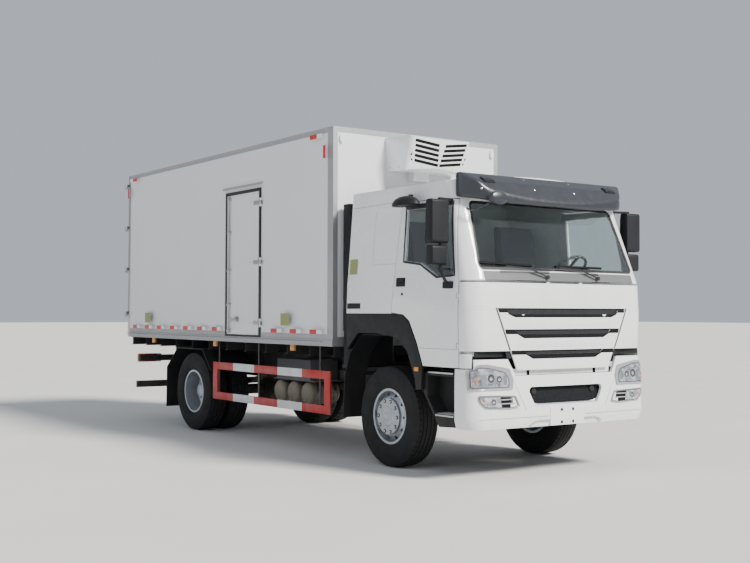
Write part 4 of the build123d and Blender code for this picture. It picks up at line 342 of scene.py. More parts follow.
# Nodes whose solid holds hardware of another metal, or that show another finish than their slot's
NODE_LOOKS = {
    "box_right_wall": "panel_steel", "side_door": "side_door", "rear_door_left": "rear_door",
    "rear_door_right": "rear_door", "flap_grille": "mesh", "bumper": "bumper_paint",
    "front_lamps": "reflector", "marker_lamps": "marker_lamps", "box_edge_rails": "rail_metal",
}


def smooth_by_angle(limit):
    """A modifier's node group that rounds a mesh's shading below an edge angle."""
    group = bpy.data.node_groups.new("smooth_by_angle", "GeometryNodeTree")
    group.interface.new_socket("Geometry", in_out="INPUT", socket_type="NodeSocketGeometry")
    group.interface.new_socket("Geometry", in_out="OUTPUT", socket_type="NodeSocketGeometry")
    start, end = group.nodes.new("NodeGroupInput"), group.nodes.new("NodeGroupOutput")
    all_round, creases = [group.nodes.new("GeometryNodeSetShadeSmooth") for _ in range(2)]
    all_round.domain, creases.domain = "FACE", "EDGE"
    creases.inputs["Shade Smooth"].default_value = False
    angle = group.nodes.new("GeometryNodeInputMeshEdgeAngle")
    sharp = group.nodes.new("FunctionNodeCompare")
    sharp.operation = "GREATER_THAN"
    sharp.inputs[1].default_value = limit
    for come_from, go_to in (
        (angle.outputs["Unsigned Angle"], sharp.inputs[0]), (sharp.outputs[0], creases.inputs["Selection"]),
        (start.outputs[0], all_round.inputs["Geometry"]), (all_round.outputs[0], creases.inputs["Geometry"]),
        (creases.outputs[0], end.inputs[0]),
    ):
        group.links.new(come_from, go_to)
    return group


CREASE = math.radians(32)
SMOOTH = smooth_by_angle(CREASE)


def soften(thing, bevel, weld=False):
    """Rounds a piece's edges by the bevel and shades its curves smoothly."""
    if weld:
        thing.modifiers.new("weld", "WELD").merge_threshold = 0.00002
    if bevel:
        edges = thing.modifiers.new("bevel", "BEVEL")
        edges.width = bevel
        edges.segments = 2
        edges.limit_method = "ANGLE"
        edges.angle_limit = CREASE
    thing.modifiers.new("smooth", "NODES").node_group = SMOOTH


# Edge rounding of the solids that show painted or moulded edges
NODE_BEVELS = {
    "front_flap": 0.004, "door_left": 0.003, "door_right": 0.003, "fridge_unit": 0.012,
    "mirror_left": 0.010, "mirror_right": 0.010, "step_boxes": 0.008, "cab_flares": 0.006,
    "side_guards": 0.004, "side_door": 0.003, "rear_door_left": 0.003, "rear_door_right": 0.003,
    "box_rear_frame": 0.003, "marker_lamps": 0.005, "battery_and_air_tanks": 0.006, "rear_bars": 0.004,
    "air_intake": 0.004, "side_door_seal": 0.003, "dashboard": 0.004, "cab_shell": 0.003,
}
for part in frame["record"]["subparts"]:
    node = nodes[part["node"]]
    finish = LOOKS[NODE_LOOKS.get(part["node"], part["material_slot"])]
    if not node.material_slots:
        node.data.materials.append(finish)
    for holder in node.material_slots:
        holder.material = finish
    soften(node, NODE_BEVELS.get(part["node"], 0.0), weld=True)

# the moulded visor has no sharp edge at all
visor = nodes["visor"]
evened = visor.modifiers.new("evened", "REMESH")
evened.mode = "VOXEL"
evened.voxel_size = 0.012
evened.use_smooth_shade = True
worn = visor.modifiers.new("worn", "SMOOTH")
worn.factor = 0.5
worn.iterations = 24


def lifted(point, axis, value):
    """A point of a plane across one axis, at that axis's value."""
    a, b = point
    return {"x": (value, a, b), "y": (a, value, b), "z": (a, b, value)}[axis]


def turns(count):
    """Angles spread evenly over one turn."""
    return [2 * math.pi * index / count for index in range(count)]


def circle(centre, axis, radius, sides):
    """Points round a centre, in the plane across an axis vector."""
    axis = axis.normalized()
    first = axis.cross(UP if abs(axis.z) < 0.9 else BACK).normalized()
    second = axis.cross(first)
    return [
        Vector(centre) + radius * (math.cos(turn) * first + math.sin(turn) * second)
        for turn in turns(sides)
    ]


# Least radius of a turned form, and how far strips and plates lie on and reach into a surface
THIN, ON, INTO = 0.0005, 0.0006, 0.002


class Shape:
    """One mesh put together from simple forms, then made a piece of the truck."""

    def __init__(self):
        self.mesh = bmesh.new()

    def skin(self, rings, closed=False):
        """Joins rings of equally many points, with a face on each end unless they close."""
        made = [[self.mesh.verts.new(point) for point in ring] for ring in rings]
        for a, b in zip(made, made[1:] + made[:1] if closed else made[1:]):
            for i in range(len(a)):
                j = (i + 1) % len(a)
                self.mesh.faces.new((a[i], a[j], b[j], b[i]))
        if not closed:
            self.mesh.faces.new(made[0][::-1])
            self.mesh.faces.new(made[-1])
        return self

    def prism(self, outline, axis, low, high):
        return self.skin([[lifted(point, axis, value) for point in outline] for value in (low, high)])

    def box(self, low, high):
        (x0, y0, z0), (x1, y1, z1) = low, high
        return self.prism(((x0, y0), (x1, y0), (x1, y1), (x0, y1)), "z", z0, z1)

    def tube(self, points, radius, sides=16):
        points = [Vector(point) for point in points]
        rings = []
        for index, point in enumerate(points):
            ahead = points[min(index + 1, len(points) - 1)] - points[max(index - 1, 0)]
            rings.append(circle(point, ahead, radius, sides))
        return self.skin(rings)

    def turned(self, profile, centre, sides=64):
        """Turns (x, radius) points about the X axis through the centre's y and z."""
        _, y, z = centre
        return self.skin([circle((x, y, z), LEFT, max(radius, THIN), sides) for x, radius in profile])

    def stud(self, at, out, *radii, sides=8):
        """A turned rod that stands out from a place, with its radii spread evenly along it."""
        last = len(radii) - 1
        return self.skin([
            circle(Vector(at) + index / last * out, out, radius, sides) for index, radius in enumerate(radii)
        ])

    def dish(self, at, a, b, deep, levels, sides=32):
        """Ellipses round a place, of half axes a and b; levels lists each one's share and depth."""
        return self.skin([
            [at + share * (a * math.cos(turn) + b * math.sin(turn)) + depth * deep for turn in turns(sides)]
            for share, depth in levels
        ])

    def band(self, tree, points, direction, width, lift, step=0.03, sink=INTO, closed=False):
        """A strip laid on a surface below a line of points, seen along a direction."""
        points = [Vector(point) for point in points]
        if closed:
            points.append(points[0])
        line = []
        for a, b in zip(points, points[1:]):
            count = max(1, round((b - a).length / step))
            line += [a.lerp(b, i / count) for i in range(count)]
        line += [] if closed else [points[-1]]
        hits = [hit for hit in (laid(tree, point, direction, far=3) for point in line) if hit]
        rings = []
        for index, (spot, normal) in enumerate(hits):
            if closed:
                ahead = hits[(index + 1) % len(hits)][0] - hits[index - 1][0]
            else:
                ahead = hits[min(index + 1, len(hits) - 1)][0] - hits[max(index - 1, 0)][0]
            side = ahead.cross(normal).normalized() * width / 2
            high, low = spot + normal * lift, spot - normal * sink
            rings.append([high - side, high + side, low + side, low - side])
        return self.skin(rings, closed)

    def patch(self, tree, low, high, direction, lift):
        """A plate over a surface, between two corners of the plane across a direction."""
        heights = [low[1] + (high[1] - low[1]) * row / 8 for row in range(9)]
        return self.sheet(tree, [((low[0], z), (high[0], z)) for z in heights], direction, lift, columns=12)

    def sheet(self, tree, edges, direction, lift, columns=8, sink=INTO):
        """A plate over a surface, from rows that each join two points of the plane across a direction."""
        axis = "x" if direction.x else "y"
        grid, rows = [], len(edges) - 1
        for start, end in edges:
            for column in range(columns + 1):
                flat = Vector(start).lerp(Vector(end), column / columns)
                grid.append(laid(tree, Vector(lifted(flat, axis, 0)), direction))
        fronts = [self.mesh.verts.new(spot + normal * lift) for spot, normal in grid]
        backs = [self.mesh.verts.new(spot - normal * sink) for spot, normal in grid]
        across = columns + 1
        for row in range(rows):
            for column in range(columns):
                a = row * across + column
                b, c, d = a + 1, a + across + 1, a + across
                self.mesh.faces.new([fronts[i] for i in (a, b, c, d)])
                self.mesh.faces.new([backs[i] for i in (d, c, b, a)])
        rim = (
            list(range(across)) + [row * across + columns for row in range(1, rows + 1)]
            + [rows * across + column for column in range(columns - 1, -1, -1)]
            + [row * across for row in range(rows - 1, 0, -1)]
        )
        for a, b in zip(rim, rim[1:] + rim[:1]):
            self.mesh.faces.new((fronts[a], backs[a], backs[b], fronts[b]))
        return self

    def rim(self, tree, outer, inner, direction, high, low, sink=INTO):
        """A sloping rim on a surface, between two outlines of equally many points."""
        rings = []
        outer, inner = [[Vector(point) for point in line] for line in (outer, inner)]
        for a, b, c, d in zip(outer, outer[1:] + outer[:1], inner, inner[1:] + inner[:1]):
            count = max(1, round((b - a).length / 0.02))
            for index in range(count):
                spot, normal = laid(tree, a.lerp(b, index / count), direction)
                within, tilt = laid(tree, c.lerp(d, index / count), direction)
                rings.append([
                    spot - normal * sink, spot + normal * high, within + tilt * low, within - tilt * sink,
                ])
        return self.skin(rings, closed=True)

    def piece(self, name, body, slot, finish=None, bevel=0.0):
        bmesh.ops.recalc_face_normals(self.mesh, faces=self.mesh.faces)
        data = bpy.data.meshes.new(name)
        self.mesh.to_mesh(data)
        self.mesh.free()
        thing = bpy.data.objects.new(name, data)
        bpy.context.scene.collection.objects.link(thing)
        data.materials.append(LOOKS[finish or slot])
        soften(thing, bevel)
        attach(thing, body)
        return thing


def laid(tree, point, direction, far=6):
    """Where a line from far off through a point meets a surface, with its outward normal, or None."""
    spot, normal, *_ = tree.ray_cast(point - far * direction, direction)
    if spot is None:
        return None
    return spot, normal if normal.dot(direction) < 0 else -normal


def closed_form(name):
    """A search tree over the form that a node's solid has with its openings filled."""
    form = bmesh.new()
    for corner in nodes[name].data.vertices:
        form.verts.new(corner.co)
    bmesh.ops.convex_hull(form, input=form.verts)
    tree = BVHTree.FromBMesh(form)
    form.free()
    return tree


def eased(outline, radius=0.020):
    """A closed outline whose corners are rounded off by about the radius."""
    made = []
    points = [Vector(point) for point in outline]
    for before, corner, after in zip(points[-1:] + points[:-1], points, points[1:] + points[:1]):
        ends = []
        for other in (before, after):
            apart = other - corner
            ends.append(corner + apart * min(radius / apart.length, 0.45))
        made += [ends[0], (ends[0] + 2 * corner + ends[1]) / 4, ends[1]]
    return made


def surface(*names):
    """A search tree over the faces of some nodes."""
    corners, faces = [], []
    for name in names:
        mesh = nodes[name].data
        faces += [[len(corners) + i for i in face.vertices] for face in mesh.polygons]
        corners += [corner.co.copy() for corner in mesh.vertices]
    return BVHTree.FromPolygons(corners, faces)


def along_side(points, side):
    """Side-view points (behind the front axle, height) set outside one flank."""
    return [(side * OUTSIDE, AXLE_1 + y, z) for y, z in points]


def along_front(points, side=1):
    """Front-view points (x, height), or their mirror image, set ahead of the nose."""
    return [(side * x, NOSE - 0.11, z) for x, z in points]


def mirrored(rows, side):
    """Front-view rows of the left half, on one side."""
    return [[(side * x, z) for x, z in row] for row in rows]


# Tyres: a turned carcass whose tread has grooves round it and notches across its shoulders.
# The tread's half width, its radius, and how strongly it curves across; then its shoulders and its cuts
TREAD_HALF, TREAD_R, CROWN = 0.118, 0.541, 0.42
SHOULDER = ((0.095, 0.5365), (TREAD_HALF, 0.534))
GROOVE_W, GROOVE_D, NOTCH_D = 0.011, 0.012, 0.011
# One side wall from the bead out: distance from the tyre's middle, radius
WALL = (
    (0.113, 0.287), (0.113, 0.300), (0.122, 0.306), (0.130, 0.330), (0.1335, 0.332), (0.136, 0.345),
    (0.1475, 0.385), (0.1500, 0.410), (0.1490, 0.440), (0.1460, 0.462), (0.1475, 0.464), (0.1450, 0.472),
    (0.1400, 0.492), (0.1300, 0.517), (0.1225, 0.529),
)


def tread_line(grooves):
    """The tread from the right shoulder to the left: distance, radius, whether notches cut it."""
    line = [(end * x, radius, True) for x, radius in SHOULDER for end in (-1, 1)]
    for place in grooves:
        for off, deep in ((-1, 0), (-0.7, 1), (0.7, 1), (1, 0)):
            x = place + off * GROOVE_W / 2
            line.append((x, TREAD_R - CROWN * x * x - deep * GROOVE_D, False))
    return sorted(line)


def tyres(name, body, node, centres, axle_y, blocks, notch, grooves):
    """Replaces a node's tyres by ones with so many tread blocks, each notched for a share of its length."""
    shape = Shape()
    profile = [(-x, r, False) for x, r in WALL] + tread_line(grooves)
    profile += [(x, r, False) for x, r in WALL[::-1]]
    for centre in centres:
        rings = []
        for block in range(blocks):
            for share, cut in ((0.0, 0), (0.02, 1), (notch, 1), (notch + 0.02, 0), ((1 + notch) / 2, 0)):
                turn = 2 * math.pi * (block + share) / blocks
                out = Vector((0, math.sin(turn), math.cos(turn)))
                rings.append([
                    Vector((centre + x, axle_y, AXLE_Z)) + out * (r - NOTCH_D * cut * soft)
                    for x, r, soft in profile
                ])
        shape.skin(rings, closed=True)
    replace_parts(shape.piece(name, body, "tyre"), node)


def wheel_part(start, side, profile, centre):
    """A form turned about a wheel's axis, from points (distance outwards from a start, radius)."""
    return Shape().turned([(start + side * out, radius) for out, radius in profile], centre)


# The tread's grooves, and how far each twin tyre lies from the pair's middle
FRONT_GROOVES = (-0.072, -0.026, 0.026, 0.072)
REAR_GROOVES = (-0.056, 0.0, 0.056)
DUAL_STEP = 0.170
# Radius of the wheel nuts' circle, and where the hub cover begins outside the steered wheel's middle
NUT_CIRCLE, HUB_FACE = 0.1675, 0.108

for word, side in SIDES:
    steered, driven = f"wheel_front_{word}", f"wheels_rear_{word}"
    front, out = (side * STEER_X, AXLE_1, AXLE_Z), side * LEFT
    tyres(f"tread_front_{word}", steered, f"tyre_front_{word}", [front[0]], AXLE_1, 56, 0.22, FRONT_GROOVES)
    pair = [side * (DUAL_X - DUAL_STEP), side * (DUAL_X + DUAL_STEP)]
    tyres(f"tread_rear_{word}", driven, f"tyres_rear_{word}", pair, AXLE_2, 44, 0.34, REAR_GROOVES)

    # hub cover of the steered wheel: a flat silver disc with ten round wells, each a black disc of painted shade
    # round its nut
    face = side * (STEER_X + HUB_FACE)
    cover = wheel_part(face, side, (
        (0.0, 0.198), (0.030, 0.198), (0.036, 0.192), (0.036, 0.106), (0.040, 0.100), (0.040, 0.046),
        (0.036, 0.040), (0.036, 0.001),
    ), front)
    cover.piece(f"hub_cover_{word}", steered, "wheel_paint")
    wells, nuts, rear_nuts = Shape(), Shape(), Shape()
    for at in circle((face + side * 0.030, AXLE_1, AXLE_Z), LEFT, NUT_CIRCLE, 10):
        # black disc: painted shade in the well
        wells.stud(at, 0.0075 * out, 0.021, 0.0215, sides=24)
        nuts.stud(at, 0.012 * out, 0.0145, 0.0145, 0.012, sides=6)
    for at in circle((side * (DUAL_X + 0.012), AXLE_2, AXLE_Z), LEFT, NUT_CIRCLE, 10):
        rear_nuts.stud(at, 0.010 * out, 0.030, 0.028, sides=20)
        rear_nuts.stud(at, 0.038 * out, 0.024, 0.024, 0.021, sides=6)
    wells.piece(f"nut_wells_{word}", steered, "black_plastic")
    nuts.piece(f"wheel_nuts_front_{word}", steered, "steel")
    rear_nuts.piece(f"wheel_nuts_rear_{word}", driven, "steel")

    # brake drums inside the rims, and the rear hub's cap with its bolts
    brake = wheel_part(side * (STEER_X - 0.135), side, (
        (0.02, 0.215), (0.03, 0.222), (0.10, 0.222), (0.11, 0.232), (0.12, 0.232), (0.125, 0.215),
    ), front)
    brake.piece(f"brake_drum_front_{word}", steered, "axle_iron")
    hub = wheel_part(side * 1.088, side, (
        (0.0, 0.112), (0.006, 0.108), (0.012, 0.096), (0.032, 0.090), (0.040, 0.070), (0.041, 0.001),
    ), (0, AXLE_2, AXLE_Z))
    for at in circle((side * 1.094, AXLE_2, AXLE_Z), LEFT, 0.102, 8):
        hub.stud(at, 0.010 * out, 0.008, 0.008, sides=6)
    hub.piece(f"hub_cap_rear_{word}", driven, "wheel_paint")


# Nose: painted shade in the flap's two slanting grooves, ribs on its cheeks, painted shade under the edges of its
# slots, and the panels behind it
flap_skin = surface("front_flap")
grooves, ribs = Shape(), Shape()
for side in (-1, 1):
    # a dark band in each groove is painted shade
    groove = along_front([(0.920, 1.700), (0.654, 1.086)], side)
    grooves.band(flap_skin, groove, BACK, 0.020, 0.0008)
    for height, outer in ((1.716, 1.19), (1.690, 1.17)):
        rib = along_front([(0.945, height), (outer, height)], side)
        ribs.band(flap_skin, rib, BACK, 0.010, 0.002)
grooves.piece("flap_grooves", "front_flap", "black_plastic", "seam")
ribs.piece("flap_ribs", "front_flap", "cab_paint")
# each slot's lower edge curls in, and a dark sheet below it is painted shade; a lip hangs from its upper edge.
# Columns: top, lip's depth, half width, deep half width, narrow bottom, deep bottom, the painted shade's narrow
# bottom, its deep bottom, and its deep half width
SLOT_LIPS_AND_SHADE = (
    (1.702, 0.004, 0.893, 0.762, 1.676, 1.636, 1.654, 1.606, 0.680),
    (1.500, 0.012, 0.804, 0.645, 1.476, 1.438, 1.440, 1.398, 0.560),
    (1.298, 0.020, 0.723, 0.528, 1.274, 1.238, 1.236, 1.192, 0.440),
)
flap_form = closed_form("front_flap")
slot_edges, slot_lips = Shape(), Shape()
for top, lip, wide, deep, narrow_z, deep_z, shade_z, low_z, low_deep in SLOT_LIPS_AND_SHADE:
    stations = (
        (wide, wide - 0.012, narrow_z, shade_z), (deep + 0.030, deep + 0.006, narrow_z, shade_z),
        (deep, low_deep, deep_z, low_z), (0.40, 0.38, deep_z, low_z), (0.20, 0.19, deep_z, low_z),
        (0.0, 0.0, deep_z, low_z),
    )
    rows = [((-x_low, z_low), (-x, z)) for x, x_low, z, z_low in stations]
    rows += [((x_low, z_low), (x, z)) for x, x_low, z, z_low in stations[-2::-1]]
    # a dark sheet of painted shade below the slot's edge
    slot_edges.sheet(flap_form, rows, BACK, 0.0008, columns=3)
    rows = [((x, top - lip), (x, top + 0.002)) for x in [(wide + 0.010) * i / 8 for i in range(-8, 9)]]
    slot_lips.sheet(flap_form, rows, BACK, ON, columns=2, sink=0.010)
slot_edges.piece("slot_edges", "front_flap", "black_plastic", "deep_black")
slot_lips.piece("slot_lips", "front_flap", "cab_paint")

slot_panels = Shape()
for side in (-1, 1):
    slot_panels.box((side * 0.66, AXLE_1 - 1.412, 1.218), (side * 1.150, AXLE_1 - 1.404, 1.300))
slot_panels.piece("nose_slot_panels", "cab", "black_plastic")
# the panel under the flap, open where the cab's two tilt arms come through
under_flap = Shape()
for x0, x1 in ((-0.685, -0.488), (-0.446, 0.446), (0.488, 0.685)):
    under_flap.box((x0, AXLE_1 - 1.427, 1.032), (x1, AXLE_1 - 1.4232, 1.096))
under_flap.piece("nose_lower_panel", "chassis", "cab_paint")

# Bumper: lamps in their bezels, fog lamps with bars beside them, and a deep opening with a step edge
bumper_form = closed_form("bumper")
# Outlines from the front, left half: the bezel round the headlamp and the lamp within it, then the same
# for the fog lamp's pod, and the rows that the lamps' faces and the two bars' backing are laid in
BEZEL = (
    (1.224, 0.896), (1.224, 1.096), (1.163, 1.097), (1.150, 1.144), (1.040, 1.148), (0.757, 1.102),
    (0.722, 1.004), (0.733, 0.896),
)
LAMP = (
    (1.204, 0.922), (1.200, 1.086), (1.160, 1.090), (1.140, 1.116), (1.017, 1.113), (0.812, 1.063),
    (0.774, 1.004), (0.776, 0.922),
)
LAMP_FOOT = 0.922
LAMP_TOPS = ((1.160, 1.090), (1.140, 1.116), (1.080, 1.114), (1.017, 1.113), (0.910, 1.087), (0.812, 1.063))
LAMP_ROWS = (
    ((1.204, LAMP_FOOT), (1.200, 1.086)), *[((x, LAMP_FOOT), (x, z)) for x, z in LAMP_TOPS],
    ((0.777, 0.926), (0.775, 1.004)),
)
POD = (
    (1.152, 0.850), (0.903, 0.844), (0.694, 0.838), (0.638, 0.722), (0.759, 0.706), (1.076, 0.720),
    (1.138, 0.778),
)
POD_INNER = (
    (1.140, 0.838), (0.903, 0.832), (0.706, 0.826), (0.660, 0.733), (0.760, 0.718), (1.070, 0.732),
    (1.127, 0.785),
)
FOG_ROWS = (
    ((1.127, 0.790), (1.138, 0.837)), ((1.098, 0.757), (1.100, 0.837)), ((1.060, 0.735), (1.062, 0.836)),
    ((0.960, 0.728), (0.968, 0.834)), ((0.874, 0.723), (0.893, 0.832)),
)
BAR_ROWS = (((0.871, 0.722), (0.890, 0.832)), ((0.757, 0.719), (0.757, 0.828)))
# Bowls: place across and up, radius, size of the lamp within
BOWLS = (
    (1.000, 1.012, 0.052, 0.42), (0.900, 1.002, 0.040, 0.50), (0.975, 0.782, 0.036, 0.45),
)


rims, gap_shade, reflectors, lenses, bulbs, sparks = (Shape() for _ in range(6))
bowls, projectors, creases, bars, bar_backs = Shape(), Shape(), Shape(), Shape(), Shape()
for side in (-1, 1):
    for outer, inner in ((BEZEL, LAMP), (POD, POD_INNER)):
        outer, inner = eased(along_front(outer, side)), eased(along_front(inner, side))
        # the rims' grey finish is painted shade
        rims.rim(bumper_form, outer, inner, BACK, 0.010, 0.001)
        # a dark band round each lamp is painted shade in the gap under its rim
        gap_shade.band(bumper_form, inner, BACK, 0.010, 0.0022, step=0.02, closed=True)
    for rows in (LAMP_ROWS, FOG_ROWS):
        rows = mirrored(rows, side)
        # the lamps' mirrors, whose dark patches are painted reflections
        reflectors.sheet(bumper_form, rows, BACK, 0.0012)
        lenses.sheet(bumper_form, rows, BACK, 0.0135, sink=-0.0105)
    bar_backs.sheet(bumper_form, mirrored(BAR_ROWS, side), BACK, 0.0010)
    for height, inner_end in ((0.802, 0.722), (0.763, 0.706)):
        bar = along_front([(0.884, height), (inner_end, height)], side)
        bars.band(bumper_form, bar, BACK, 0.010, 0.006)
    for x, z, radius, share in BOWLS:
        spot, normal = laid(bumper_form, Vector((side * x, NOSE, z)), BACK)
        normal = (normal + 2 * AHEAD).normalized()
        bowls.stud(spot, normal * 0.0085, 0.90 * radius, radius, 0.94 * radius, sides=32)
        at = spot + normal * 0.0080
        projectors.stud(at, normal * 0.0020, 0.86 * radius, 0.84 * radius, sides=32)
        at = spot + normal * 0.0090
        bowls.stud(at, normal * 0.0014, share * radius, 0.8 * share * radius, sides=24)
    for x, z, radius in ((1.160, 1.000, 0.026), (1.158, 0.962, 0.014), (1.085, 0.800, 0.018)):
        spot, normal = laid(bumper_form, Vector((side * x, NOSE, z)), BACK)
        bulbs.stud(spot, normal * 0.0095, radius, 0.9 * radius, 0.6 * radius, sides=24)
    for x0, x1 in ((1.060, 1.110), (0.940, 0.958), (0.800, 0.845)):
        rows = mirrored([((x, 0.935), (x, 1.050)) for x in (x0, x1)], side)
        sparks.sheet(bumper_form, rows, BACK, 0.0030)
    # grey lines painted as the shade along the bumper's creases
    for start, end, width in (
        ((1.160, 0.615), (0.262, 0.617), 0.007), ((0.742, 1.040), (0.556, 0.690), 0.006),
    ):
        creases.band(bumper_form, along_front([start, end], side), BACK, width, ON)
for shape, name, slot, finish, bevel in (
    (rims, "lamp_rims", "cab_paint", "bezel", 0.0),
    (gap_shade, "lamp_gaps", "black_plastic", "seam", 0.0),
    (reflectors, "lamp_reflectors", "lamp_clear", "reflector", 0.0),
    (lenses, "lamp_lenses", "lamp_clear", None, 0.0),
    (bulbs, "indicator_bulbs", "lamp_amber", "bulb", 0.0),
    (sparks, "lamp_facets", "lamp_clear", "chrome", 0.0),
    (bowls, "lamp_bowls", "lamp_clear", "chrome", 0.0),
    (projectors, "lamp_projectors", "lamp_clear", "dark_bowl", 0.0),
    (creases, "bumper_creases", "cab_paint", "soft_seam", 0.0),
    (bar_backs, "fog_lamp_grilles", "black_plastic", "deep_black", 0.0),
    (bars, "fog_lamp_bars", "grey_plastic", "soft_seam", 0.002),
):
    shape.piece(name, "chassis", slot, finish, bevel)

# the opening's sloping walls, with a dark mesh deep behind it
OPENING = (
    (0.552, 0.926), (0.522, 0.850), (0.492, 0.785), (0.458, 0.722), (0.380, 0.706), (0.281, 0.706),
)
OPENING_BACK = (
    (0.560, 0.918), (0.529, 0.812), (0.500, 0.780), (0.436, 0.753), (0.350, 0.740), (0.281, 0.736),
)
front_line, back_line = [
    along_front(list(half) + [(-x, z) for x, z in half[::-1]]) for half in (OPENING, OPENING_BACK)
]
walls = Shape().rim(bumper_form, front_line, back_line, BACK, -0.031, -0.050, sink=0.054)
walls.piece("opening_walls", "chassis", "cab_paint", "inner_white")
deep_rows = [((-x, z), (x, z)) for x, z in OPENING_BACK[::-1]]
deep_panel = Shape().sheet(bumper_form, deep_rows, BACK, -0.050, columns=24, sink=0.056)
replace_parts(deep_panel.piece("opening_mesh", "chassis", "black_plastic", "deep_mesh"), "bumper_insert")

step_edge = Shape().box((-0.46, AXLE_1 - 1.492, 0.716), (0.46, AXLE_1 - 1.440, 0.724))
for index in range(-18, 19):
    x = 0.024 * index
    tooth = ((x - 0.008, 0.724), (x + 0.008, 0.724), (x, 0.744))
    step_edge.prism(tooth, "y", AXLE_1 - 1.490, AXLE_1 - 1.470)
step_edge.piece("bumper_step_edge", "chassis", "aluminium", "inner_white")
tow = Shape()
for x in (-0.42, 0.40):
    spot, normal = laid(bumper_form, Vector((x, NOSE, 0.868)), BACK)
    tow.stud(spot + BACK * 0.046, AHEAD * 0.012, 0.034, 0.034, 0.028, sides=32)
tow.piece("tow_covers", "chassis", "black_plastic", bevel=0.002)
air_dam = Shape()
for side in (-1, 1):
    dam = along_front([(0.242, 0.574), (0.400, 0.575), (0.455, 0.560), (0.500, 0.532)], side)
    air_dam.band(bumper_form, dam, BACK, 0.014, 0.0008)
air_dam.piece("air_dam_lines", "chassis", "black_plastic", "soft_seam")

# Doors: rubber round the glass, a handle in its well, a lock, a crease's painted shade, a rain deflector and the
# mirrors
WINDOW = (
    (-1.187, 2.030), (-1.066, 2.722), (-0.345, 2.725), (-0.352, 2.191), (-0.640, 2.156), (-0.899, 2.017),
)
for word, side in SIDES:
    body = f"cab_door_{word}"
    door_skin = surface(f"door_{word}")
    inward = -side * LEFT
    grow = [(y + (0.011 if y > -0.7 else -0.011), z + (0.011 if z > 2.4 else -0.011)) for y, z in WINDOW]
    rubber = Shape().band(door_skin, along_side(grow, side), inward, 0.022, 0.002, closed=True)
    rubber.piece(f"window_rubber_{word}", body, "seal_rubber")
    well = Shape().patch(door_skin, (AXLE_1 - 0.393, 1.920), (AXLE_1 - 0.232, 2.014), inward, 0.002)
    well.piece(f"handle_well_{word}", body, "black_plastic", bevel=0.001)
    paddle = Shape().patch(door_skin, (AXLE_1 - 0.378, 1.962), (AXLE_1 - 0.247, 2.000), inward, 0.014)
    paddle.stud((side * 1.228, AXLE_1 - 0.345, 1.842), -0.018 * inward, 0.014, 0.014, 0.012, sides=24)
    paddle.piece(f"door_handle_{word}", body, "black_plastic", bevel=0.003)
    for name, line, width, lift, slot, finish in (
        # the crease is a grey line of painted shade
        ("door_crease", [(-1.255, 1.290), (-0.640, 1.290)], 0.006, ON, "cab_paint", "soft_seam"),
        ("rain_deflector", [(-1.085, 2.750), (-0.330, 2.757)], 0.034, 0.012, "visor_plastic", None),
    ):
        strip = Shape().band(door_skin, along_side(line, side), inward, width, lift)
        strip.piece(f"{name}_{word}", body, slot, finish)

    # mirror glass faces the rear; the bracket below carries both mirrors
    glass = Shape().box((side * 1.290, AXLE_1 - 1.052, 2.350), (side * 1.460, AXLE_1 - 1.0395, 2.745))
    glass.box((side * 1.308, AXLE_1 - 1.0535, 2.140), (side * 1.432, AXLE_1 - 1.0505, 2.290))
    glass.piece(f"mirror_glass_{word}", body, "black_plastic", "mirror_glass", bevel=0.004)
    bracket = Shape().patch(door_skin, (AXLE_1 - 1.185, 1.890), (AXLE_1 - 1.050, 1.958), inward, 0.030)
    bracket.tube([
        (side * 1.245, AXLE_1 - 1.115, 1.925), (side * 1.285, AXLE_1 - 1.108, 1.985),
        (side * 1.325, AXLE_1 - 1.105, 2.060), (side * 1.335, AXLE_1 - 1.105, 2.130),
    ], 0.016)
    bracket.piece(f"mirror_bracket_{word}", body, "black_plastic", bevel=0.004)

# the kerb mirror above the right door
kerb = Shape().dish(
    Vector((-1.300, AXLE_1 - 0.49, 2.785)), 0.100 * LEFT, 0.205 * BACK, 1.25 * UP,
    ((0.93, -0.030), (1.0, -0.022), (0.97, 0.0), (0.80, 0.028), (0.45, 0.048), (0.05, 0.055)),
)
kerb.tube([
    (-1.180, AXLE_1 - 0.45, 2.870), (-1.230, AXLE_1 - 0.46, 2.868), (-1.280, AXLE_1 - 0.48, 2.830),
], 0.010)
kerb.piece("kerb_mirror", "cab_door_right", "black_plastic")

# Cab: windscreen border, wiper blades, seams and a painted shadow line, side lamps, blank marks, visor studs and
# lamps, step treads
screen = [(-1.075, 2.087), (1.075, 2.087), (0.990, 2.760), (-0.990, 2.760)]
screen_skin = surface("windscreen")
border = Shape().band(screen_skin, along_front(screen), BACK, 0.030, 0.001, closed=True)
border.piece("windscreen_border", "cab", "glass", "seal_rubber")
blades = Shape()
for line in (((-1.085, 2.141), (-0.424, 2.122)), ((-0.108, 2.122), (0.577, 2.118))):
    blades.band(screen_skin, along_front(line), BACK, 0.022, 0.016, sink=-0.002)
for x in (-0.480, 0.585):
    blades.box((x - 0.120, AXLE_1 - 1.440, 1.972), (x + 0.120, AXLE_1 - 1.405, 2.006))
blades.piece("wiper_blades", "cab", "black_plastic", "deep_black", bevel=0.003)
shell_skin = surface("cab_shell", "cab_flares")
seam_and_shadow_lines, side_lamps = Shape(), Shape()
for side in (-1, 1):
    inward = -side * LEFT
    # the first line is painted shadow under the roof's rain rail, the second a seam
    for line, width in (
        ([(0.675, 2.810), (-0.270, 2.825)], 0.007),
        ([(0.215, 2.740), (0.225, 2.165), (-0.190, 2.165)], 0.005),
    ):
        seam_and_shadow_lines.band(shell_skin, along_side(line, side), inward, width, ON)
    side_lamps.patch(shell_skin, (AXLE_1 - 0.630, 1.050), (AXLE_1 - 0.560, 1.095), inward, 0.012)
seam_and_shadow_lines.piece("cab_seams", "cab", "cab_paint", "soft_seam")
side_lamps.piece("cab_side_lamps", "cab", "lamp_amber", bevel=0.004)
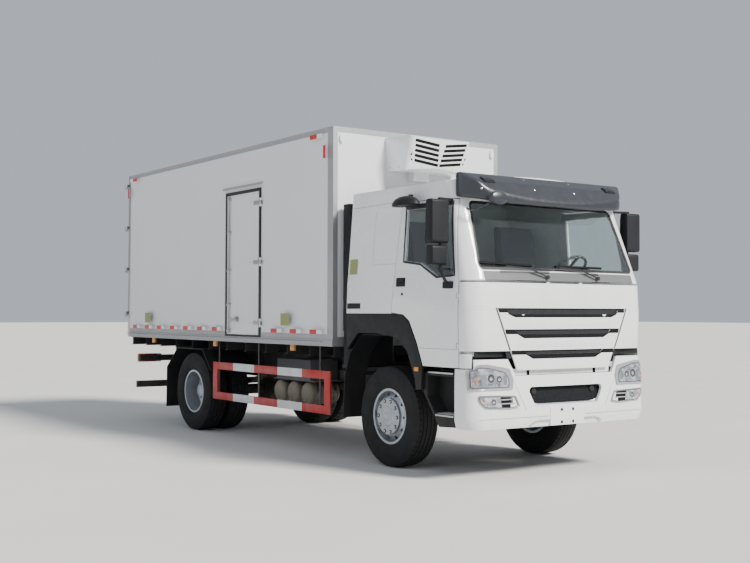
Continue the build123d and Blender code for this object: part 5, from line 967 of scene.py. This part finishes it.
# blank marks on the right flank: name, front and rear, bottom and top, how proud, slot, look, bevel
for name, y0, y1, z0, z1, lift, slot, finish, bevel in (
    ("plain_sticker", 0.510, 0.665, 2.070, 2.240, ON, "cab_paint", "sticker", 0.0),
    ("plain_label", 0.455, 0.508, 2.070, 2.245, ON, "cab_paint", "white_tape", 0.0),
    ("blank_plate", 0.420, 0.680, 1.690, 1.752, 0.002, "black_plastic", None, 0.001),
):
    mark = Shape().patch(shell_skin, (AXLE_1 + y0, z0), (AXLE_1 + y1, z1), LEFT, lift)
    mark.piece(name, "cab", slot, finish, bevel)

visor_skin = surface("visor")
studs, roof_lamps, lamp_seats = Shape(), Shape(), Shape()
for side in (-1, 1):
    for x, z in ((0.32, 3.015), (0.28, 2.905), (0.98, 2.880)):
        spot, normal = laid(visor_skin, Vector((side * x, AXLE_1, z)), BACK)
        studs.stud(spot - normal * 0.002, normal * 0.006, 0.011, 0.011, 0.006, sides=16)
    lamp_seats.patch(visor_skin, (side * 0.788, 2.950), (side * 0.932, 3.002), BACK, 0.010)
    roof_lamps.patch(visor_skin, (side * 0.80, 2.960), (side * 0.92, 2.992), BACK, 0.017)
studs.piece("visor_studs", "cab", "visor_plastic", "chrome")
lamp_seats.piece("visor_lamp_seats", "cab", "black_plastic", bevel=0.004)
roof_lamps.piece("visor_lamps", "cab", "lamp_clear", bevel=0.005)

# the look-down mirror in front of the visor's right end
pod = Shape().dish(
    Vector((-0.860, AXLE_1 - 1.440, 2.778)), 0.122 * LEFT, 0.072 * UP, BACK,
    ((0.94, 0.030), (1.0, 0.024), (0.98, 0.006), (0.85, -0.012), (0.55, -0.024), (0.05, -0.028)),
)
pod.tube([
    (-0.93, AXLE_1 - 1.424, 2.750), (-1.02, AXLE_1 - 1.360, 2.685), (-1.08, AXLE_1 - 1.290, 2.655),
    (-1.105, AXLE_1 - 1.235, 2.680),
], 0.009)
pod.piece("look_down_mirror", "cab", "grey_plastic", "visor_plastic")

STEP_OUT = 1.190
treads = Shape()
for side in (-1, 1):
    # each tread: inner and outer edge, front and rear, bottom and top
    for x0, x1, y0, y1, z0, z1 in (
        (STEP_OUT - 0.020, STEP_OUT + 0.004, -1.130, -0.730, 1.040, 1.056),
        (STEP_OUT - 0.020, STEP_OUT + 0.004, -1.140, -0.850, 0.616, 0.632),
        (1.030, STEP_OUT - 0.005, -1.142, -0.860, 0.640, 0.644),
    ):
        treads.box((side * x0, AXLE_1 + y0, z0), (side * x1, AXLE_1 + y1, z1))
    for row in range(4):
        for column in range(9):
            at = (side * (1.055 + 0.035 * row), AXLE_1 - 1.125 + 0.030 * column, 0.644)
            treads.stud(at, 0.005 * UP, 0.009, 0.006, sides=12)
treads.piece("step_treads", "chassis", "aluminium", bevel=0.001)

# Box: reflectors, corner marks, rivets, the side door's latch and hinge bolts, gaskets and lock fittings
REFLECTORS = (1.323, 1.776, 2.235, 3.831, 4.277, 4.725, 5.173, 5.620, 6.063, 6.509)
TAPE_Z = 1.424
RIVET_STEP, RIVET_RISE = 0.128, 0.138
red_tape, white_tape, marks, rivets, rail_lines = (Shape() for _ in range(5))
for side in (-1, 1):
    rail_lines.box(
        (side * (BOX_HALF + 0.0055), PANEL_FRONT + 0.12, BOX_LOW + 0.056),
        (side * (BOX_HALF + 0.0068), BOX_REAR - 0.08, BOX_LOW + 0.061),
    )
    x0, x1 = side * (BOX_HALF + 0.0005), side * (BOX_HALF + 0.0015)
    for behind in REFLECTORS:
        y = AXLE_1 + behind
        red_tape.box((x0, y - 0.075, TAPE_Z - 0.026), (x1, y + 0.075, TAPE_Z + 0.026))
        white_tape.box((x0, y - 0.185, TAPE_Z - 0.024), (x1, y - 0.080, TAPE_Z + 0.024))
    # the upper corners' marks: one along the edge and one down it
    for corner, inwards in ((PANEL_FRONT, 1), (BOX_REAR, -1)):
        for tape, near, far, low, high in (
            (red_tape, 0.28, 0.43, 0.115, 0.063), (white_tape, 0.17, 0.27, 0.113, 0.065),
            (red_tape, 0.085, 0.14, 0.360, 0.210),
        ):
            y0, y1 = corner + inwards * near, corner + inwards * far
            tape.box((x0, y0, BOX_HIGH - low), (x1, y1, BOX_HIGH - high))
    for behind in (1.97, 6.03):
        y = AXLE_1 + behind
        marks.box((x0, y - 0.10, 1.490), (x1, y + 0.10, 1.636))
    out = side * LEFT
    for index in range(46):
        y = PANEL_FRONT + 0.06 + RIVET_STEP * index
        rivets.stud((side * (BOX_HALF + 0.006), y, BOX_LOW + 0.038), 0.003 * out, 0.006, 0.0045, sides=10)
        rivets.stud((side * BOX_HALF, y, BOX_HIGH - 0.031), 0.0025 * out, 0.005, 0.004)
    for index in range(18):
        z = BOX_LOW + 0.14 + RIVET_RISE * index
        rivets.stud((side * BOX_HALF, PANEL_FRONT + 0.10, z), 0.0025 * out, 0.005, 0.004)
red_tape.piece("red_reflectors", "chassis", "lamp_red", "red_tape")
white_tape.piece("white_reflectors", "chassis", "lamp_clear", "white_tape")
marks.piece("blank_wall_marks", "chassis", "cab_paint", "sticker")
rivets.piece("rail_rivets", "chassis", "aluminium")
rail_lines.piece("rail_lines", "chassis", "aluminium", "seam")

# the side door's latch, along its rear edge, and the outer bolts of its hinges
latch = Shape()
latch_y = AXLE_1 + 3.465
latch.box((-LEAF_X - 0.012, latch_y - 0.245, 1.520), (-LEAF_X, latch_y - 0.170, 1.590))
latch.box((-LEAF_X - 0.040, latch_y - 0.225, 1.536), (-LEAF_X - 0.008, latch_y - 0.200, 1.574))
latch.stud((-LEAF_X - 0.030, latch_y - 0.212, 1.574), 0.022 * UP, 0.010, 0.010, 0.006, sides=24)
for z in (1.410, 1.750, 2.200, 2.700, 3.135):
    for y in (latch_y - 0.020, latch_y + 0.020):
        latch.stud((-LEAF_X - 0.0355, y, z), -0.004 * LEFT, 0.006, 0.004)
latch.piece("side_door_latch", "side_door", "steel", bevel=0.002)
hinge_bolts = Shape()
for z in (1.514, 2.283, 3.040):
    for y in (2.775, 2.810):
        hinge_bolts.stud((-BOX_HALF - 0.0226, AXLE_1 + y, z), -0.003 * LEFT, 0.007, 0.006)
hinge_bolts.piece("side_hinge_bolts", "side_door", "steel")

LEAF_OUTER, LEAF_LOW, LEAF_HIGH = BOX_HALF - 0.071, BOX_LOW + 0.099, BOX_HIGH - 0.088
for word, side in SIDES:
    gasket, fittings, tape = Shape(), Shape(), Shape()
    inner, outer = 0.004, LEAF_OUTER + 0.006
    for near, far, low, high in (
        (inner, outer, LEAF_LOW - 0.006, LEAF_LOW + 0.016),
        (inner, outer, LEAF_HIGH - 0.016, LEAF_HIGH + 0.006),
        (inner, inner + 0.020, LEAF_LOW, LEAF_HIGH),
        (outer - 0.020, outer, LEAF_LOW, LEAF_HIGH),
    ):
        gasket.box((side * near, BOX_REAR - 0.030, low), (side * far, BOX_REAR + 0.003, high))
    gasket.piece(f"rear_gasket_{word}", f"rear_door_{word}", "seal_rubber")
    for across in (0.330, 0.900):
        x = side * across
        for z in (BOX_LOW + 0.060, BOX_HIGH - 0.060):
            fittings.box((x - 0.045, BOX_REAR + 0.002, z - 0.025), (x + 0.045, BOX_REAR + 0.014, z + 0.025))
            fittings.stud((x, BOX_REAR + 0.020, z - 0.02), 0.04 * UP, 0.020, 0.020, sides=24)
        for z in (1.48, 1.90, 2.35, 2.80, 3.25, 3.60):
            for beside in (-0.024, 0.024):
                fittings.stud((x + beside, BOX_REAR + 0.035, z), 0.002 * BACK, 0.007, 0.006)
    fittings.piece(f"rear_lock_fittings_{word}", f"rear_door_{word}", "steel", bevel=0.002)
    for index in range(4):
        x = side * (0.17 + 0.28 * index)
        tape.box((x - 0.10, BOX_REAR + 0.0005, 1.405), (x + 0.10, BOX_REAR + 0.002, 1.450))
    tape.piece(f"rear_tape_{word}", f"rear_door_{word}", "lamp_red", "red_tape")

# Cooling unit: dark fills of painted shade in its slanting slots and in two small holes on each side, and screws
SLANT, SLOT_STEP = math.radians(7.5), 0.059
UNIT_FACE_HALF, UNIT_DEPTH, UNIT_NOSE, UNIT_RAKE = 0.438, 0.445, 0.040, 0.35
UNIT_BOTTOM, UNIT_TOP = 3.285, 3.710
SLOT_CORNERS = ((-0.170, -0.0175), (0.170, -0.0175), (0.170, 0.0175), (-0.170, 0.0175))
HOLE_LEVELS = ((1, -0.002), (1, 0.0012))
slot_shade_fills, screws = Shape(), Shape()
for side in (-1, 1):
    corner = Vector((0, PANEL_FRONT - UNIT_DEPTH - UNIT_NOSE, UNIT_TOP))
    across = Vector((UNIT_FACE_HALF, side * UNIT_NOSE, 0)).normalized()
    facing_out = Vector((0, UNIT_RAKE, -1)).cross(across).normalized()
    upward = facing_out.cross(across)
    slant = Matrix.Rotation(SLANT * side, 3, facing_out)
    for index in range(5):
        middle = corner + across * side * (0.218 - 0.0075 * index) - upward * (0.088 + SLOT_STEP * index)
        along, over = slant @ across, slant @ upward
        flat = [middle + along * a + over * b for a, b in SLOT_CORNERS]
        slot_shade_fills.skin([[point - facing_out * deep for point in flat] for deep in (0.0235, -0.0008)])
    for a, b in ((0.408, 0.235), (0.395, 0.297)):
        middle = corner + across * side * a - upward * b
        slot_shade_fills.dish(middle, across * 0.011, upward * 0.014, facing_out, HOLE_LEVELS, sides=16)
unit_skin = surface("fridge_unit")
for side in (-1, 1):
    inward = -side * LEFT
    for y in (-0.06, -0.20, -0.34):
        spot, normal = laid(unit_skin, Vector((side, PANEL_FRONT + y, UNIT_BOTTOM + 0.07)), inward)
        screws.stud(spot + inward * 0.002, -0.005 * inward, 0.009, 0.008, sides=14)
slot_shade_fills.piece("unit_slot_liners", "chassis", "black_plastic", "deep_black")
screws.piece("unit_screws", "chassis", "steel")

# Running gear: tank straps and cap, air tank bands, bolts of the frame and the axles
# Corner radius and half width of the tank's straps; spacing of the frame's bolts, how near to the rear
# axle they stop, and half the distance between the bolts of a spring's clamp
STRAP_ROUND, STRAP_HALF = 0.099, 0.030
FRAME_BOLT_STEP, SPRING_REACH, CLAMP_HALF = 0.178, 0.95, 0.052
straps, bolts, bands = Shape(), Shape(), Shape()
for place in (AXLE_1 + 1.48, AXLE_1 + 2.23):
    outline = [(0.505, 0.475), (1.125, 0.475), (1.125, 1.065), (0.505, 1.065)]
    rounded = []
    for (x, z), (sx, sz) in zip(outline, ((1, 1), (-1, 1), (-1, -1), (1, -1))):
        for step in range(7):
            turn = math.pi / 2 * step / 6
            a, b = math.cos(turn), math.sin(turn)
            if sx * sz > 0:
                a, b = b, a
            rounded.append((x + sx * STRAP_ROUND * (1 - a), z + sz * STRAP_ROUND * (1 - b)))
    straps.prism(rounded, "y", place - STRAP_HALF, place + STRAP_HALF)
straps.piece("tank_straps", "chassis", "steel")
cap_at = Vector((0.970, AXLE_1 + 2.320, 1.085))
cap = Shape().stud(cap_at, 0.035 * UP, 0.060, 0.060, 0.056, 0.050, sides=24)
for at in circle(cap_at + 0.003 * UP, UP, 0.060, 12):
    cap.stud(at, 0.018 * UP, 0.006, 0.006)
cap.piece("tank_cap", "chassis", "black_plastic")

for index in range(3):
    y = AXLE_1 + 2.110 + 0.335 * index
    for x in (-0.550, -0.800):
        hoop = [(x - 0.018, 0.139), (x - 0.018, 0.1415), (x + 0.018, 0.1415), (x + 0.018, 0.139)]
        bands.turned(hoop, (x, y, 0.645), sides=48)
    bands.stud((-0.899, y, 0.560), -0.013 * LEFT, 0.018, 0.018, 0.014, sides=6)
bands.piece("air_tank_bands", "chassis", "steel")

for side in (-1, 1):
    # frame bolts, apart from where the rear wheels' springs hang
    for index in range(44):
        y = AXLE_1 - 1.20 + FRAME_BOLT_STEP * index
        for z in (0.800, 0.965):
            if abs(y - AXLE_2) > SPRING_REACH:
                bolts.stud((side * 0.425, y, z), side * 0.010 * LEFT, 0.012, 0.012, 0.010, sides=6)
    for axle_y, x, low_z, high_z in ((AXLE_1, 0.390, 0.425, 0.615), (AXLE_2, 0.490, 0.600, 0.720)):
        for y in (axle_y - 0.062, axle_y + 0.062):
            for across in (side * (x - CLAMP_HALF), side * (x + CLAMP_HALF)):
                bolts.stud((across, y, low_z), (high_z - low_z) * UP, 0.010, 0.010, sides=12)
                bolts.stud((across, y, high_z), 0.02 * UP, 0.017, 0.017, sides=6)
bolts.piece("frame_bolts", "chassis", "axle_iron")

# Rear: a blank plate on the lamp bar's middle and the lamps' divisions
rear_plate = Shape().box((-0.26, AXLE_1 + 6.662, 0.470), (0.26, AXLE_1 + 6.668, 0.590))
rear_plate.piece("blank_rear_plate", "chassis", "cab_paint", "inner_white", bevel=0.002)
dividers = Shape()
for side in (-1, 1):
    for x in (side * 0.855, side * 1.045):
        dividers.box((x - 0.002, AXLE_1 + 6.700, 0.872), (x + 0.002, AXLE_1 + 6.7395, 0.994))
dividers.piece("tail_lamp_dividers", "chassis", "black_plastic")

# Surroundings: a pale floor and soft light from ahead and above, with a paler fill
FLOOR_CORNERS = ((-1, -1), (1, -1), (1, 1), (-1, 1))
SKY, SKY_STRENGTH = (0.80, 0.86, 0.95, 1), 0.62
floor_look = Looks("floor")
patches = floor_look.spread(floor_look.noise(0.6), 0.3, 0.7, 0.0, 0.5)
floor_look.shade(
    Base_Color=floor_look.mix(patches, (0.66, 0.65, 0.63), (0.60, 0.59, 0.575)), Roughness=0.85
)
floor_look.relief(floor_look.noise(40.0), 0.15, 0.002)
floor_mesh = bpy.data.meshes.new("floor")
floor_mesh.from_pydata([(150 * x, 150 * y, 0) for x, y in FLOOR_CORNERS], [], [(0, 1, 2, 3)])
floor_mesh.materials.append(floor_look.material)
floor = bpy.data.objects.new("floor", floor_mesh)
bpy.context.scene.collection.objects.link(floor)

world = bpy.data.worlds.new("world")
world.use_nodes = True
background = world.node_tree.nodes["Background"]
background.inputs["Color"].default_value = SKY
background.inputs["Strength"].default_value = SKY_STRENGTH
bpy.context.scene.world = world


def lamp(name, kind, energy, aim_from, color=(1, 1, 1), **more):
    light = bpy.data.lights.new(name, kind)
    light.energy = energy
    light.color = color
    for key, value in more.items():
        setattr(light, key, value)
    thing = bpy.data.objects.new(name, light)
    thing.location = aim_from
    thing.rotation_euler = Vector(aim_from).to_track_quat("Z", "Y").to_euler()
    bpy.context.scene.collection.objects.link(thing)


lamp("key", "SUN", 7.0, (6, -16, 14), (1.0, 0.97, 0.92), angle=math.radians(14))
lamp("fill", "AREA", 400, (-16, -8, 9), (0.9, 0.94, 1.0), size=10)
